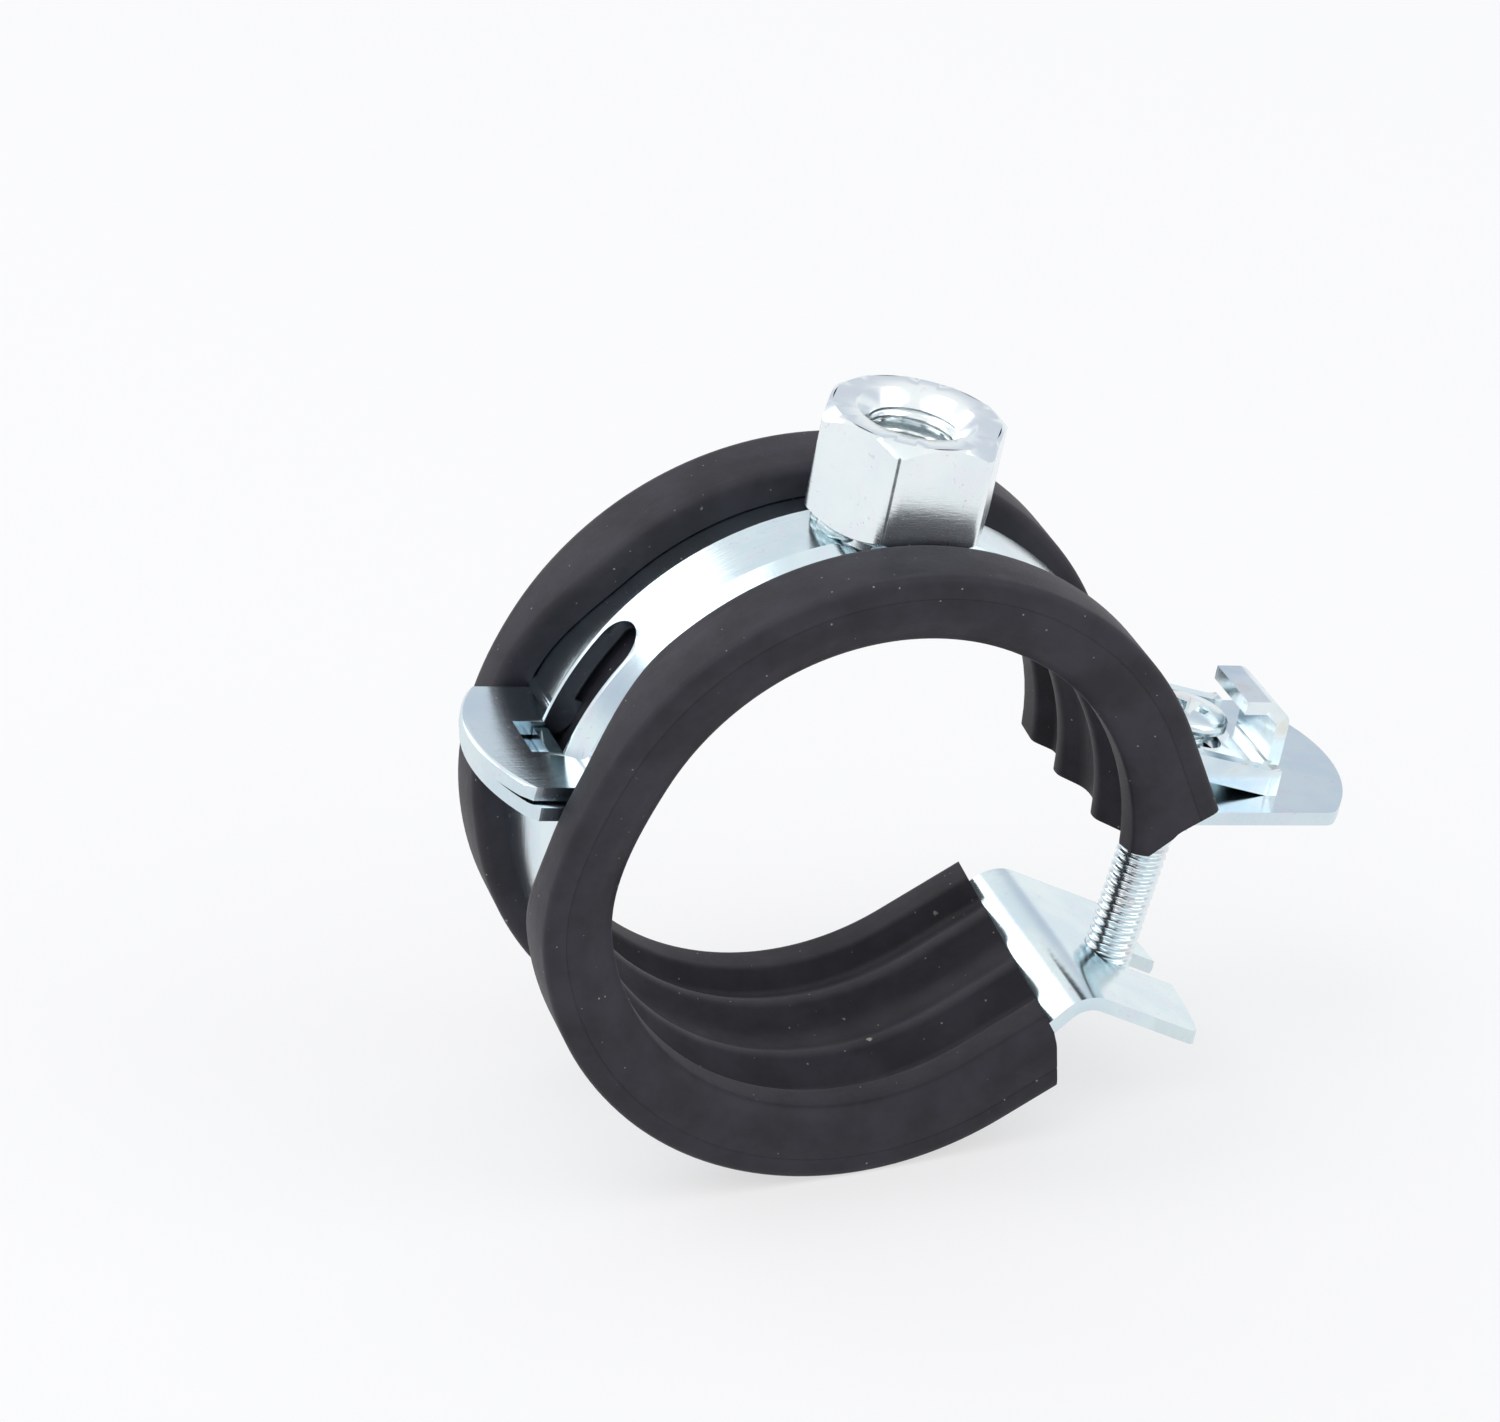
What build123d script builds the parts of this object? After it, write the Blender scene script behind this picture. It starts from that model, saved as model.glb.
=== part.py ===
from build123d import *
from math import asin, atan2, cos, degrees, hypot, radians, sin, sqrt, tan
import os

os.makedirs("parts", exist_ok=True)

# Rubber lined pipe clamp, millimetres.
# X points from the hinge to the closing screw, Y runs along the pipe and Z is the nut's axis.
# The origin is the centre of the pipe seat in the upper half.

# Sheet steel
SHEET = 1.1
BAND_WIDTH = 20.0
BAND_MID_R = 22.45
SWEEP_CLEARANCE = 0.05

# Where the halves sit
LOWER_SHIFT_X = -0.8
LOWER_SHIFT_Z = 0.2
HINGE_SLIT = 0.2
HINGE_SLIT_Z = 4.5
BEND_R = 1.5
EAR_CORNER_R = 1.2

# Hinge flanges
UPPER_FLANGE_LENGTH = 7.0
UPPER_FLANGE_HALF = 7.8
LOWER_FLANGE_LENGTH = 6.6
LOWER_FLANGE_HALF = 8.5
FLANGE_BOW = 1.9
FLANGE_CORNER = 0.8
FLANGE_RIM_ROUND = 0.35

# Upper half, right-hand end
UPPER_FLARE_DEG = 30.0
UPPER_EAR_TOP_Z = 4.5
UPPER_EAR_TIP_X = 40.9
UPPER_EAR_HALF = 9.1
UPPER_EAR_SHOULDER_X = 37.4
UPPER_EAR_BEND_R = 1.4
UPPER_EAR_SLOT_FROM_X = 25.1
UPPER_EAR_SLOT_TO_X = 31.1
SCREW_SLOT_HALF = 2.4

# Stiffening bead and the hook slot through it
BEAD_RISE = 1.1
BEAD_TOP_HALF = 2.75
BEAD_BASE_HALF = 4.2
BEAD_HOLLOW_TOP_HALF = 2.0
BEAD_HOLLOW_BASE_HALF = 3.3
BEAD_FROM_DEG = 38.0
BEAD_TO_DEG = 167.5
BEAD_RAMP_DEG = 7.0
BEAD_SKIN = 0.1
HOOK_SLOT_HALF = 2.35
HOOK_SLOT_FROM_DEG = 147.0
HOOK_SLOT_LENGTH = 2.9
HOOK_SLOT_REACH = 2.0
TONGUE_HALF = 2.1
TONGUE_TOP_Z = 5.3
TONGUE_OUT = 0.7

# Lower half, right-hand end
LOWER_FLARE_DEG = -54.0
LOWER_KNEE_X = 16.6
LOWER_KNEE_Z = -14.75
LOWER_CREST_X = 19.8
LOWER_CREST_Z = -11.28
LOWER_WING_SLOPE = -0.365
LOWER_WING_TIP_X = 31.4
LOWER_WING_HALF = 10.0
LOWER_WING_SHOULDER_X = 30.0
LOWER_BEND_R = 2.6
WING_NECK_HALF = 1.75

# Rubber liner section, depths from the band's faces and half widths along the pipe
RIB_RISE = 1.9
GROOVE_SKIN = 0.6
LINER_HALF = 12.5
LIP_THICKNESS = 2.6
LIP_INNER_Y = 6.6
LIP_ROUND = 0.8
RIB_MID_FROM_Y = 0.9
RIB_MID_CREST_FROM_Y = 3.3
RIB_MID_CREST_TO_Y = 4.3
RIB_MID_TO_Y = 6.5
RIB_EDGE_FROM_Y = 7.7
RIB_EDGE_CREST_FROM_Y = 9.8
RIB_EDGE_CREST_TO_Y = 11.2
RIB_EDGE_SHOULDER_DROP = 0.7
RIB_EDGE_SHOULDER_Y = 11.9
FACE_RISE = 0.2

# Liner run and its two cut ends
LINER_JOIN_UPPER_DEG = 158.0
LINER_JOIN_LOWER_DEG = 196.0
LINER_OVERRUN = 17.0
LINER_LOWER_OVERRUN = 12.0
UPPER_CUT_X = 22.1
UPPER_CUT_Z = 2.6
UPPER_CUT_DEG = 36.9
UPPER_CUT_SKEW_DEG = 4.0
UPPER_END_DEG = 2.0
UPPER_END_OVERLAP_DEG = 6.0
END_INSET = 0.1
LOWER_CUT_X = 17.0
LOWER_CUT_Z = -14.9
LOWER_CUT_DEG = 13.3
LOWER_CUT_SKEW_DEG = 7.0
CUT_LENGTH = 14.0
CUT_DEPTH = 12.0
CUT_MARGIN = 5.0
NOTCH_CLEARANCE = 0.3
NOTCH_INSET = 0.4
PIPE_SPACE_TOP_Z = -1.2

# Connection nut
NUT_ACROSS_FLATS = 13.0
NUT_FLAT_RISE = 0.4
NUT_BOSS_R = 5.4
NUT_BOSS_HEIGHT = 1.0
NUT_HEIGHT = 8.5
NUT_THREAD_R = 3.35
NUT_COUNTERSINK_R = 4.5
NUT_CHAMFER_R = 6.45
NUT_CHAMFER_DEG = 44.0

# Locking keeper
KEEPER_HALF = 6.4
KEEPER_FROM_X = 24.4
KEEPER_FLOOR_RISE = 1.9
KEEPER_TOUCH_X = 32.7
KEEPER_WALL = 1.55
KEEPER_WALL_TO_X = 33.6
KEEPER_POST_X = 34.6
KEEPER_POST_TOP_Z = 9.1
KEEPER_HOOK_Z = 10.2
KEEPER_HOOK_BEND_X = 33.3
KEEPER_HOOK_TIP_X = 31.2
KEEPER_HOOK_HALF = 3.0
KEEPER_BEND_R = 0.7

# Closing screw
SCREW_R = 1.95
SCREW_THREAD_GAP = 0.05
SCREW_FOOT_X = 26.0
SCREW_FOOT_Z = -14.2
SCREW_TOP_X = 28.0
SCREW_TOP_Z = 8.2
SCREW_SEAT_Z = 7.7
SCREW_SHANK = 25.0
SCREW_TIP_CHAMFER = 0.6
HEAD_R = 3.2
HEAD_HEIGHT = 1.1
HEAD_ROUND = 0.6
RECESS_LENGTH = 3.4
RECESS_WIDTH = 0.8
RECESS_DEPTH = 0.7

HALF_SHEET = SHEET / 2
BAND_OUTER_R = BAND_MID_R + HALF_SHEET
BAND_INNER_R = BAND_MID_R - HALF_SHEET
RIB_R = BAND_INNER_R - RIB_RISE
GROOVE_R = BAND_INNER_R - GROOVE_SKIN
FACE_FROM_R = BAND_INNER_R + FACE_RISE
RIB_EDGE_SHOULDER_R = RIB_R + RIB_EDGE_SHOULDER_DROP
LIP_R = BAND_OUTER_R + LIP_THICKNESS
CUT_WIDTH = LINER_HALF * 2 + CUT_MARGIN
UPPER_FLANGE_TIP_X = -BAND_OUTER_R - UPPER_FLANGE_LENGTH
LOWER_FLANGE_TIP_X = -BAND_OUTER_R - LOWER_FLANGE_LENGTH
HOOK_SLOT_TIP_X = -BAND_OUTER_R - HOOK_SLOT_LENGTH
TONGUE_OUT_X = -BAND_OUTER_R - TONGUE_OUT
NOTCH_FROM_X = -BAND_OUTER_R + NOTCH_INSET
NUT_FLAT_Z = BAND_OUTER_R + NUT_FLAT_RISE
NUT_BASE_Z = NUT_FLAT_Z + NUT_BOSS_HEIGHT
NUT_TOP_Z = NUT_BASE_Z + NUT_HEIGHT
CENTRE_UPPER = (0.0, 0.0)
CENTRE_LOWER = (LOWER_SHIFT_X, LOWER_SHIFT_Z)


def on_circle(centre, radius, degrees_up):
    """Point (x, z) on a circle."""
    angle = radians(degrees_up)
    return (centre[0] + radius * cos(angle), centre[1] + radius * sin(angle))


def along(point, degrees_up, distance):
    """Point (x, z) at a distance from another in a direction."""
    angle = radians(degrees_up)
    return (point[0] + distance * cos(angle), point[1] + distance * sin(angle))


def space(point):
    """Point (x, z) of the side view as a point in space."""
    return (point[0], 0.0, point[1])


def flange_bend(centre, line_z, side):
    """Tangent points and middle of the bend between a level flange and the band's circle."""
    bend_z = line_z + side * BEND_R - centre[1]
    reach = BAND_MID_R + BEND_R
    bend_x = -sqrt(reach**2 - bend_z**2)
    middle = (centre[0] + bend_x, centre[1] + bend_z)
    on_line = (middle[0], line_z)
    on_band = (
        centre[0] + bend_x * BAND_MID_R / reach,
        centre[1] + bend_z * BAND_MID_R / reach,
    )
    first = atan2(on_line[1] - middle[1], on_line[0] - middle[0])
    last = atan2(on_band[1] - middle[1], on_band[0] - middle[0])
    between = on_circle(middle, BEND_R, degrees((first + last) / 2))
    return on_line, between, on_band


def band_angle(centre, point):
    """Direction of a point seen from a circle's centre, from 0 to 360 degrees."""
    return degrees(atan2(point[1] - centre[1], point[0] - centre[0])) % 360


def flange_outline(tip_x, half, root_x):
    """Plan outline of a hinge flange: a gently bowed end with cut corners."""
    edge_x = tip_x + FLANGE_BOW
    with BuildSketch(Plane.XY) as outline:
        with BuildLine():
            Polyline(
                (edge_x, -half + FLANGE_CORNER),
                (edge_x + FLANGE_CORNER, -half),
                (root_x, -half),
                (root_x, half),
                (edge_x + FLANGE_CORNER, half),
                (edge_x, half - FLANGE_CORNER),
            )
            ThreePointArc(
                (edge_x, half - FLANGE_CORNER),
                (tip_x, 0),
                (edge_x, -half + FLANGE_CORNER),
            )
        make_face()
    return outline.sketch


def ear_outline(root_x, shoulder_x, tip_x, half):
    """Plan outline of an ear: straight sides, rounded corners and one wide arc as its end."""
    with BuildSketch(Plane.XY) as outline:
        with BuildLine():
            Polyline((shoulder_x, half), (root_x, half), (root_x, -half), (shoulder_x, -half))
            ThreePointArc((shoulder_x, -half), (tip_x, 0), (shoulder_x, half))
        make_face()
        fillet(outline.vertices().group_by(Axis.X)[-1], radius=EAR_CORNER_R)
    return outline.sketch


def plan_waste(outline, from_x, to_x, low_z, high_z):
    """Block outside a plan outline, for trimming a folded sheet to that outline."""
    block = Pos((from_x + to_x) / 2, 0, (low_z + high_z) / 2) * Box(
        abs(to_x - from_x), CUT_WIDTH, high_z - low_z
    )
    return block - extrude(Pos(0, 0, low_z) * outline, amount=high_z - low_z)


def trapezoid(inner_r, outer_r, inner_half, outer_half):
    """Section of a ring in the plane of X and Y."""
    return make_face(
        Polyline(
            (inner_r, -inner_half),
            (outer_r, -outer_half),
            (outer_r, outer_half),
            (inner_r, inner_half),
            close=True,
        )
    )


def turned(section, centre, from_deg, to_deg):
    """Ring segment between two directions, from a section drawn in the plane of X and Y."""
    ring = revolve(section, axis=Axis((0, 0, 0), (0, -1, 0)), revolution_arc=to_deg - from_deg)
    return Pos(centre[0], 0, centre[1]) * Rot(0, -from_deg, 0) * ring


# Upper half of the band
upper_flange_z = HINGE_SLIT_Z + HINGE_SLIT / 2 + HALF_SHEET
lower_flange_z = HINGE_SLIT_Z - HINGE_SLIT / 2 - HALF_SHEET
upper_on_line, upper_bend_mid, upper_on_band = flange_bend(CENTRE_UPPER, upper_flange_z, 1)
upper_start_deg = band_angle(CENTRE_UPPER, upper_on_band)
upper_flare = on_circle(CENTRE_UPPER, BAND_MID_R, UPPER_FLARE_DEG)
upper_ear_z = UPPER_EAR_TOP_Z - HALF_SHEET
flare_run = (upper_flare[1] - upper_ear_z) / cos(radians(UPPER_FLARE_DEG))
upper_ear_corner = along(upper_flare, UPPER_FLARE_DEG - 90, flare_run)
ear_bottom_z = UPPER_EAR_TOP_Z - SHEET

bead_outer = turned(
    trapezoid(BAND_OUTER_R - BEAD_SKIN, BAND_OUTER_R + BEAD_RISE, BEAD_BASE_HALF, BEAD_TOP_HALF),
    CENTRE_UPPER,
    BEAD_FROM_DEG,
    BEAD_TO_DEG,
)
bead_hollow = turned(
    trapezoid(
        BAND_INNER_R - BEAD_SKIN,
        BAND_INNER_R + BEAD_RISE,
        BEAD_HOLLOW_BASE_HALF,
        BEAD_HOLLOW_TOP_HALF,
    ),
    CENTRE_UPPER,
    BEAD_FROM_DEG + BEAD_RAMP_DEG,
    BEAD_TO_DEG - BEAD_RAMP_DEG,
)
ramp_low = on_circle(CENTRE_UPPER, BAND_OUTER_R, BEAD_FROM_DEG)
ramp_high = on_circle(CENTRE_UPPER, BAND_OUTER_R + BEAD_RISE, BEAD_FROM_DEG + BEAD_RAMP_DEG)
ramp_deg = degrees(atan2(ramp_high[1] - ramp_low[1], ramp_high[0] - ramp_low[0]))
bead_ramp = (
    Pos(*space(ramp_low))
    * Rot(0, -ramp_deg, 0)
    * Box(CUT_LENGTH, CUT_WIDTH, BEAD_RISE * 3, align=(Align.CENTER, Align.CENTER, Align.MAX))
)
nut_flat = Pos(0, 0, NUT_FLAT_Z) * Box(
    CUT_LENGTH, CUT_WIDTH, BEAD_RISE * 3, align=(Align.CENTER, Align.CENTER, Align.MIN)
)
hook_slot = turned(
    trapezoid(
        BAND_INNER_R - BEAD_RISE, BAND_OUTER_R + BEAD_RISE * 2, HOOK_SLOT_HALF, HOOK_SLOT_HALF
    ),
    CENTRE_UPPER,
    HOOK_SLOT_FROM_DEG,
    BEAD_TO_DEG,
)
hook_slot_end = (
    Rot(0, -HOOK_SLOT_FROM_DEG, 0)
    * Pos(BAND_MID_R, 0, 0)
    * Rot(0, 90, 0)
    * Cylinder(HOOK_SLOT_HALF, SHEET * 4)
)
hook_slot_root = Pos(HOOK_SLOT_TIP_X, 0, upper_flange_z) * Box(
    -BAND_INNER_R - HOOK_SLOT_TIP_X + HOOK_SLOT_REACH,
    HOOK_SLOT_HALF * 2,
    SHEET * 4,
    align=(Align.MIN, Align.CENTER, Align.CENTER),
)
upper_flange_waste = plan_waste(
    flange_outline(UPPER_FLANGE_TIP_X, UPPER_FLANGE_HALF, upper_on_band[0]),
    UPPER_FLANGE_TIP_X - SHEET,
    -BAND_OUTER_R + SHEET / 4,
    upper_flange_z - SHEET,
    upper_flange_z + SHEET,
)
upper_ear_waste = plan_waste(
    ear_outline(upper_ear_corner[0], UPPER_EAR_SHOULDER_X, UPPER_EAR_TIP_X, UPPER_EAR_HALF),
    upper_ear_corner[0] + SHEET,
    UPPER_EAR_TIP_X + SHEET,
    upper_ear_z - SHEET,
    upper_ear_z + SHEET,
)

with BuildPart() as upper_band_half:
    with BuildLine(Plane.XZ) as upper_path:
        Line((UPPER_FLANGE_TIP_X, upper_flange_z), upper_on_line)
        ThreePointArc(upper_on_line, upper_bend_mid, upper_on_band)
        CenterArc(
            CENTRE_UPPER, BAND_MID_R, upper_start_deg, UPPER_FLARE_DEG - upper_start_deg
        )
        FilletPolyline(
            upper_flare,
            upper_ear_corner,
            (UPPER_EAR_TIP_X, upper_ear_z),
            radius=UPPER_EAR_BEND_R,
        )
    with BuildSketch(
        Plane(
            origin=(UPPER_FLANGE_TIP_X, 0, upper_flange_z), x_dir=(0, 1, 0), z_dir=(1, 0, 0)
        )
    ):
        Rectangle(BAND_WIDTH, SHEET)
    sweep(path=upper_path.wires()[0])
    add(bead_outer - bead_ramp - nut_flat)
    add(bead_hollow, mode=Mode.SUBTRACT)
    add(hook_slot, mode=Mode.SUBTRACT)
    add(hook_slot_end, mode=Mode.SUBTRACT)
    add(hook_slot_root, mode=Mode.SUBTRACT)
    add(upper_flange_waste, mode=Mode.SUBTRACT)
    add(upper_ear_waste, mode=Mode.SUBTRACT)
    with BuildSketch(Plane.XY.offset(ear_bottom_z - SHEET)):
        with Locations(((UPPER_EAR_SLOT_FROM_X + UPPER_EAR_SLOT_TO_X) / 2, 0)):
            SlotOverall(UPPER_EAR_SLOT_TO_X - UPPER_EAR_SLOT_FROM_X, SCREW_SLOT_HALF * 2)
    extrude(amount=SHEET * 3, mode=Mode.SUBTRACT)
    flange_rim = (
        upper_band_half.edges()
        .filter_by_position(
            Axis.Z, upper_flange_z + HALF_SHEET - BEAD_SKIN, upper_flange_z + HALF_SHEET + BEAD_SKIN
        )
        .filter_by_position(
            Axis.X, UPPER_FLANGE_TIP_X - SHEET, UPPER_FLANGE_TIP_X + FLANGE_BOW + BEAD_SKIN
        )
    )
    fillet(flange_rim, radius=FLANGE_RIM_ROUND)
upper_band_half.part.label = "upper_band_half"
export_step(upper_band_half.part, "parts/upper_band_half.step")

# Lower half of the band, with the tongue that hooks up through the upper half's slot
lower_on_line, lower_bend_mid, lower_on_band = flange_bend(CENTRE_LOWER, lower_flange_z, -1)
lower_start_deg = band_angle(CENTRE_LOWER, lower_on_band)
lower_flare = on_circle(CENTRE_LOWER, BAND_MID_R, LOWER_FLARE_DEG)
wing_tip_z = LOWER_CREST_Z + LOWER_WING_SLOPE * (LOWER_WING_TIP_X - LOWER_CREST_X)
wing_low_z = wing_tip_z - SHEET * 2
screw_lean_deg = degrees(atan2(SCREW_TOP_X - SCREW_FOOT_X, SCREW_TOP_Z - SCREW_FOOT_Z))
screw_rise = SCREW_TOP_Z - SCREW_FOOT_Z
screw_seat_x = SCREW_FOOT_X + tan(radians(screw_lean_deg)) * (SCREW_SEAT_Z - SCREW_FOOT_Z)
screw_axis = Pos(screw_seat_x, 0, SCREW_SEAT_Z) * Rot(0, screw_lean_deg, 0)
screw_hole_x = SCREW_FOOT_X + tan(radians(screw_lean_deg)) * SHEET
wing_at_hole_z = LOWER_CREST_Z + LOWER_WING_SLOPE * (screw_hole_x - LOWER_CREST_X)
lower_flange_waste = plan_waste(
    flange_outline(LOWER_FLANGE_TIP_X, LOWER_FLANGE_HALF, lower_on_band[0]),
    LOWER_FLANGE_TIP_X - SHEET,
    lower_on_band[0] - HALF_SHEET,
    lower_flange_z - SHEET,
    lower_flange_z + SHEET,
)
lower_wing_waste = plan_waste(
    ear_outline(LOWER_CREST_X, LOWER_WING_SHOULDER_X, LOWER_WING_TIP_X, LOWER_WING_HALF),
    LOWER_CREST_X + LOWER_BEND_R,
    LOWER_WING_TIP_X + SHEET,
    wing_low_z,
    LOWER_CREST_Z,
)
thread_hole = screw_axis * Cylinder(SCREW_R + SCREW_THREAD_GAP, SCREW_SHANK * 2)
wing_neck = Pos(screw_hole_x, 0, wing_at_hole_z - SHEET) * Box(
    CUT_DEPTH, WING_NECK_HALF * 2, SHEET * 6, align=(Align.MIN, Align.CENTER, Align.CENTER)
)

with BuildPart() as lower_band_half:
    with BuildLine(Plane.XZ) as lower_path:
        Line((LOWER_FLANGE_TIP_X, lower_flange_z), lower_on_line)
        ThreePointArc(lower_on_line, lower_bend_mid, lower_on_band)
        CenterArc(
            CENTRE_LOWER,
            BAND_MID_R,
            lower_start_deg,
            LOWER_FLARE_DEG + 360 - lower_start_deg,
        )
        FilletPolyline(
            lower_flare,
            (LOWER_KNEE_X, LOWER_KNEE_Z),
            (LOWER_CREST_X, LOWER_CREST_Z),
            (LOWER_WING_TIP_X, wing_tip_z),
            radius=LOWER_BEND_R,
        )
    with BuildSketch(
        Plane(
            origin=(LOWER_FLANGE_TIP_X, 0, lower_flange_z), x_dir=(0, 1, 0), z_dir=(1, 0, 0)
        )
    ):
        Rectangle(BAND_WIDTH, SHEET)
    sweep(path=lower_path.wires()[0], transition=Transition.RIGHT)
    add(lower_flange_waste, mode=Mode.SUBTRACT)
    add(lower_wing_waste, mode=Mode.SUBTRACT)
    with BuildSketch(Plane.XY.offset(lower_flange_z)):
        with Locations((TONGUE_OUT_X, 0)):
            Rectangle(SHEET, TONGUE_HALF * 2)
    extrude(amount=TONGUE_TOP_Z - lower_flange_z)
    add(thread_hole, mode=Mode.SUBTRACT)
    add(wing_neck, mode=Mode.SUBTRACT)
lower_band_half.part.label = "lower_band_half"
export_step(lower_band_half.part, "parts/lower_band_half.step")

# Rubber liner: one C-shaped strip round the edges of both halves, open at the screw side
channel_inner_r = BAND_INNER_R - SWEEP_CLEARANCE
channel_outer_r = BAND_OUTER_R + SWEEP_CLEARANCE
channel_half = BAND_WIDTH / 2 + SWEEP_CLEARANCE
section_half = [
    (GROOVE_R, RIB_MID_FROM_Y),
    (RIB_R, RIB_MID_CREST_FROM_Y),
    (RIB_R, RIB_MID_CREST_TO_Y),
    (GROOVE_R, RIB_MID_TO_Y),
    (GROOVE_R, RIB_EDGE_FROM_Y),
    (RIB_R, RIB_EDGE_CREST_FROM_Y),
    (RIB_R, RIB_EDGE_CREST_TO_Y),
    (RIB_EDGE_SHOULDER_R, RIB_EDGE_SHOULDER_Y),
    (FACE_FROM_R, LINER_HALF),
    (LIP_R - LIP_ROUND, LINER_HALF),
    (LIP_R, LINER_HALF - LIP_ROUND),
    (LIP_R, LIP_INNER_Y + LIP_ROUND),
    (LIP_R - LIP_ROUND, LIP_INNER_Y),
    (channel_outer_r, LIP_INNER_Y),
    (channel_outer_r, channel_half),
    (channel_inner_r, channel_half),
]
inner_half = [
    (radius + END_INSET, min(half, LINER_HALF - END_INSET))
    for radius, half in section_half
    if radius < channel_inner_r
]
inner_half.append((channel_inner_r, LINER_HALF - END_INSET))
inner_full = inner_half + [(radius, -half) for radius, half in reversed(inner_half)]
upper_end = turned(
    make_face(Polyline(*inner_full, close=True)),
    CENTRE_UPPER,
    UPPER_END_DEG,
    UPPER_FLARE_DEG + UPPER_END_OVERLAP_DEG,
)
section_full = section_half + [(radius, -half) for radius, half in reversed(section_half)]
section_points = [(radius - BAND_MID_R, half) for radius, half in section_full]
liner_start = along(upper_flare, UPPER_FLARE_DEG - 90, LINER_OVERRUN)
liner_upper_join = on_circle(CENTRE_UPPER, BAND_MID_R, LINER_JOIN_UPPER_DEG)
liner_lower_join = on_circle(CENTRE_LOWER, BAND_MID_R, LINER_JOIN_LOWER_DEG)
lower_flare_dir = LOWER_FLARE_DEG + 90
liner_end = along(lower_flare, lower_flare_dir, LINER_LOWER_OVERRUN)
flare_angle = radians(UPPER_FLARE_DEG)

upper_cut = Plane(
    origin=(UPPER_CUT_X, 0, UPPER_CUT_Z),
    x_dir=(cos(radians(UPPER_CUT_DEG)), 0, sin(radians(UPPER_CUT_DEG))),
    z_dir=(sin(radians(UPPER_CUT_DEG)), 0, -cos(radians(UPPER_CUT_DEG))),
).rotated((-UPPER_CUT_SKEW_DEG, 0, 0))
lower_cut = Plane(
    origin=(LOWER_CUT_X, 0, LOWER_CUT_Z),
    x_dir=(sin(radians(LOWER_CUT_DEG)), 0, -cos(radians(LOWER_CUT_DEG))),
    z_dir=(cos(radians(LOWER_CUT_DEG)), 0, sin(radians(LOWER_CUT_DEG))),
).rotated((LOWER_CUT_SKEW_DEG, 0, 0))
cut_block = Box(
    CUT_LENGTH, CUT_WIDTH, CUT_DEPTH, align=(Align.CENTER, Align.CENTER, Align.MIN)
)
notch_low_z = lower_flange_z - HALF_SHEET - NOTCH_CLEARANCE
notch_high_z = upper_flange_z + HALF_SHEET + NOTCH_CLEARANCE
notch_half = max(UPPER_FLANGE_HALF, LOWER_FLANGE_HALF) + NOTCH_CLEARANCE
notch = Pos(NOTCH_FROM_X, 0, (notch_low_z + notch_high_z) / 2) * Box(
    CUT_DEPTH,
    notch_half * 2,
    notch_high_z - notch_low_z,
    align=(Align.MAX, Align.CENTER, Align.CENTER),
)
lower_channel = turned(
    trapezoid(channel_inner_r, channel_outer_r, channel_half, channel_half),
    CENTRE_LOWER,
    band_angle(CENTRE_LOWER, space(lower_on_band)[::2]),
    LINER_JOIN_LOWER_DEG + BEAD_RAMP_DEG,
)
pipe_space = Rot(90, 0, 0) * Cylinder(RIB_R, CUT_WIDTH) & Pos(0, 0, PIPE_SPACE_TOP_Z) * Box(
    LIP_R * 2, CUT_WIDTH, LIP_R, align=(Align.CENTER, Align.CENTER, Align.MAX)
)

with BuildPart() as rubber_liner:
    with BuildLine(Plane.XZ) as liner_path:
        Line(liner_start, upper_flare)
        CenterArc(
            CENTRE_UPPER, BAND_MID_R, UPPER_FLARE_DEG, LINER_JOIN_UPPER_DEG - UPPER_FLARE_DEG
        )
        Spline(
            liner_upper_join,
            liner_lower_join,
            tangents=(
                (-sin(radians(LINER_JOIN_UPPER_DEG)), cos(radians(LINER_JOIN_UPPER_DEG))),
                (-sin(radians(LINER_JOIN_LOWER_DEG)), cos(radians(LINER_JOIN_LOWER_DEG))),
            ),
        )
        CenterArc(
            CENTRE_LOWER,
            BAND_MID_R,
            LINER_JOIN_LOWER_DEG,
            LOWER_FLARE_DEG + 360 - LINER_JOIN_LOWER_DEG,
        )
        Line(lower_flare, liner_end)
    with BuildSketch(
        Plane(
            origin=space(liner_start),
            x_dir=(cos(flare_angle), 0, sin(flare_angle)),
            z_dir=(-sin(flare_angle), 0, cos(flare_angle)),
        )
    ):
        Polygon(*section_points, align=None)
    sweep(path=liner_path.wires()[0])
    add(upper_cut * cut_block, mode=Mode.SUBTRACT)
    add(upper_end)
    add(lower_cut * cut_block, mode=Mode.SUBTRACT)
    add(notch, mode=Mode.SUBTRACT)
    add(lower_channel, mode=Mode.SUBTRACT)
    add(pipe_space, mode=Mode.SUBTRACT)
    add(upper_band_half.part, mode=Mode.SUBTRACT)
    add(lower_band_half.part, mode=Mode.SUBTRACT)
rubber_liner.part.label = "rubber_liner"
export_step(rubber_liner.part, "parts/rubber_liner.step")

# Connection nut, threaded M8 and standing on the flattened bead
nut_corner_r = NUT_ACROSS_FLATS / sqrt(3)
chamfer_drop = (nut_corner_r - NUT_CHAMFER_R) * tan(radians(NUT_CHAMFER_DEG))

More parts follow.
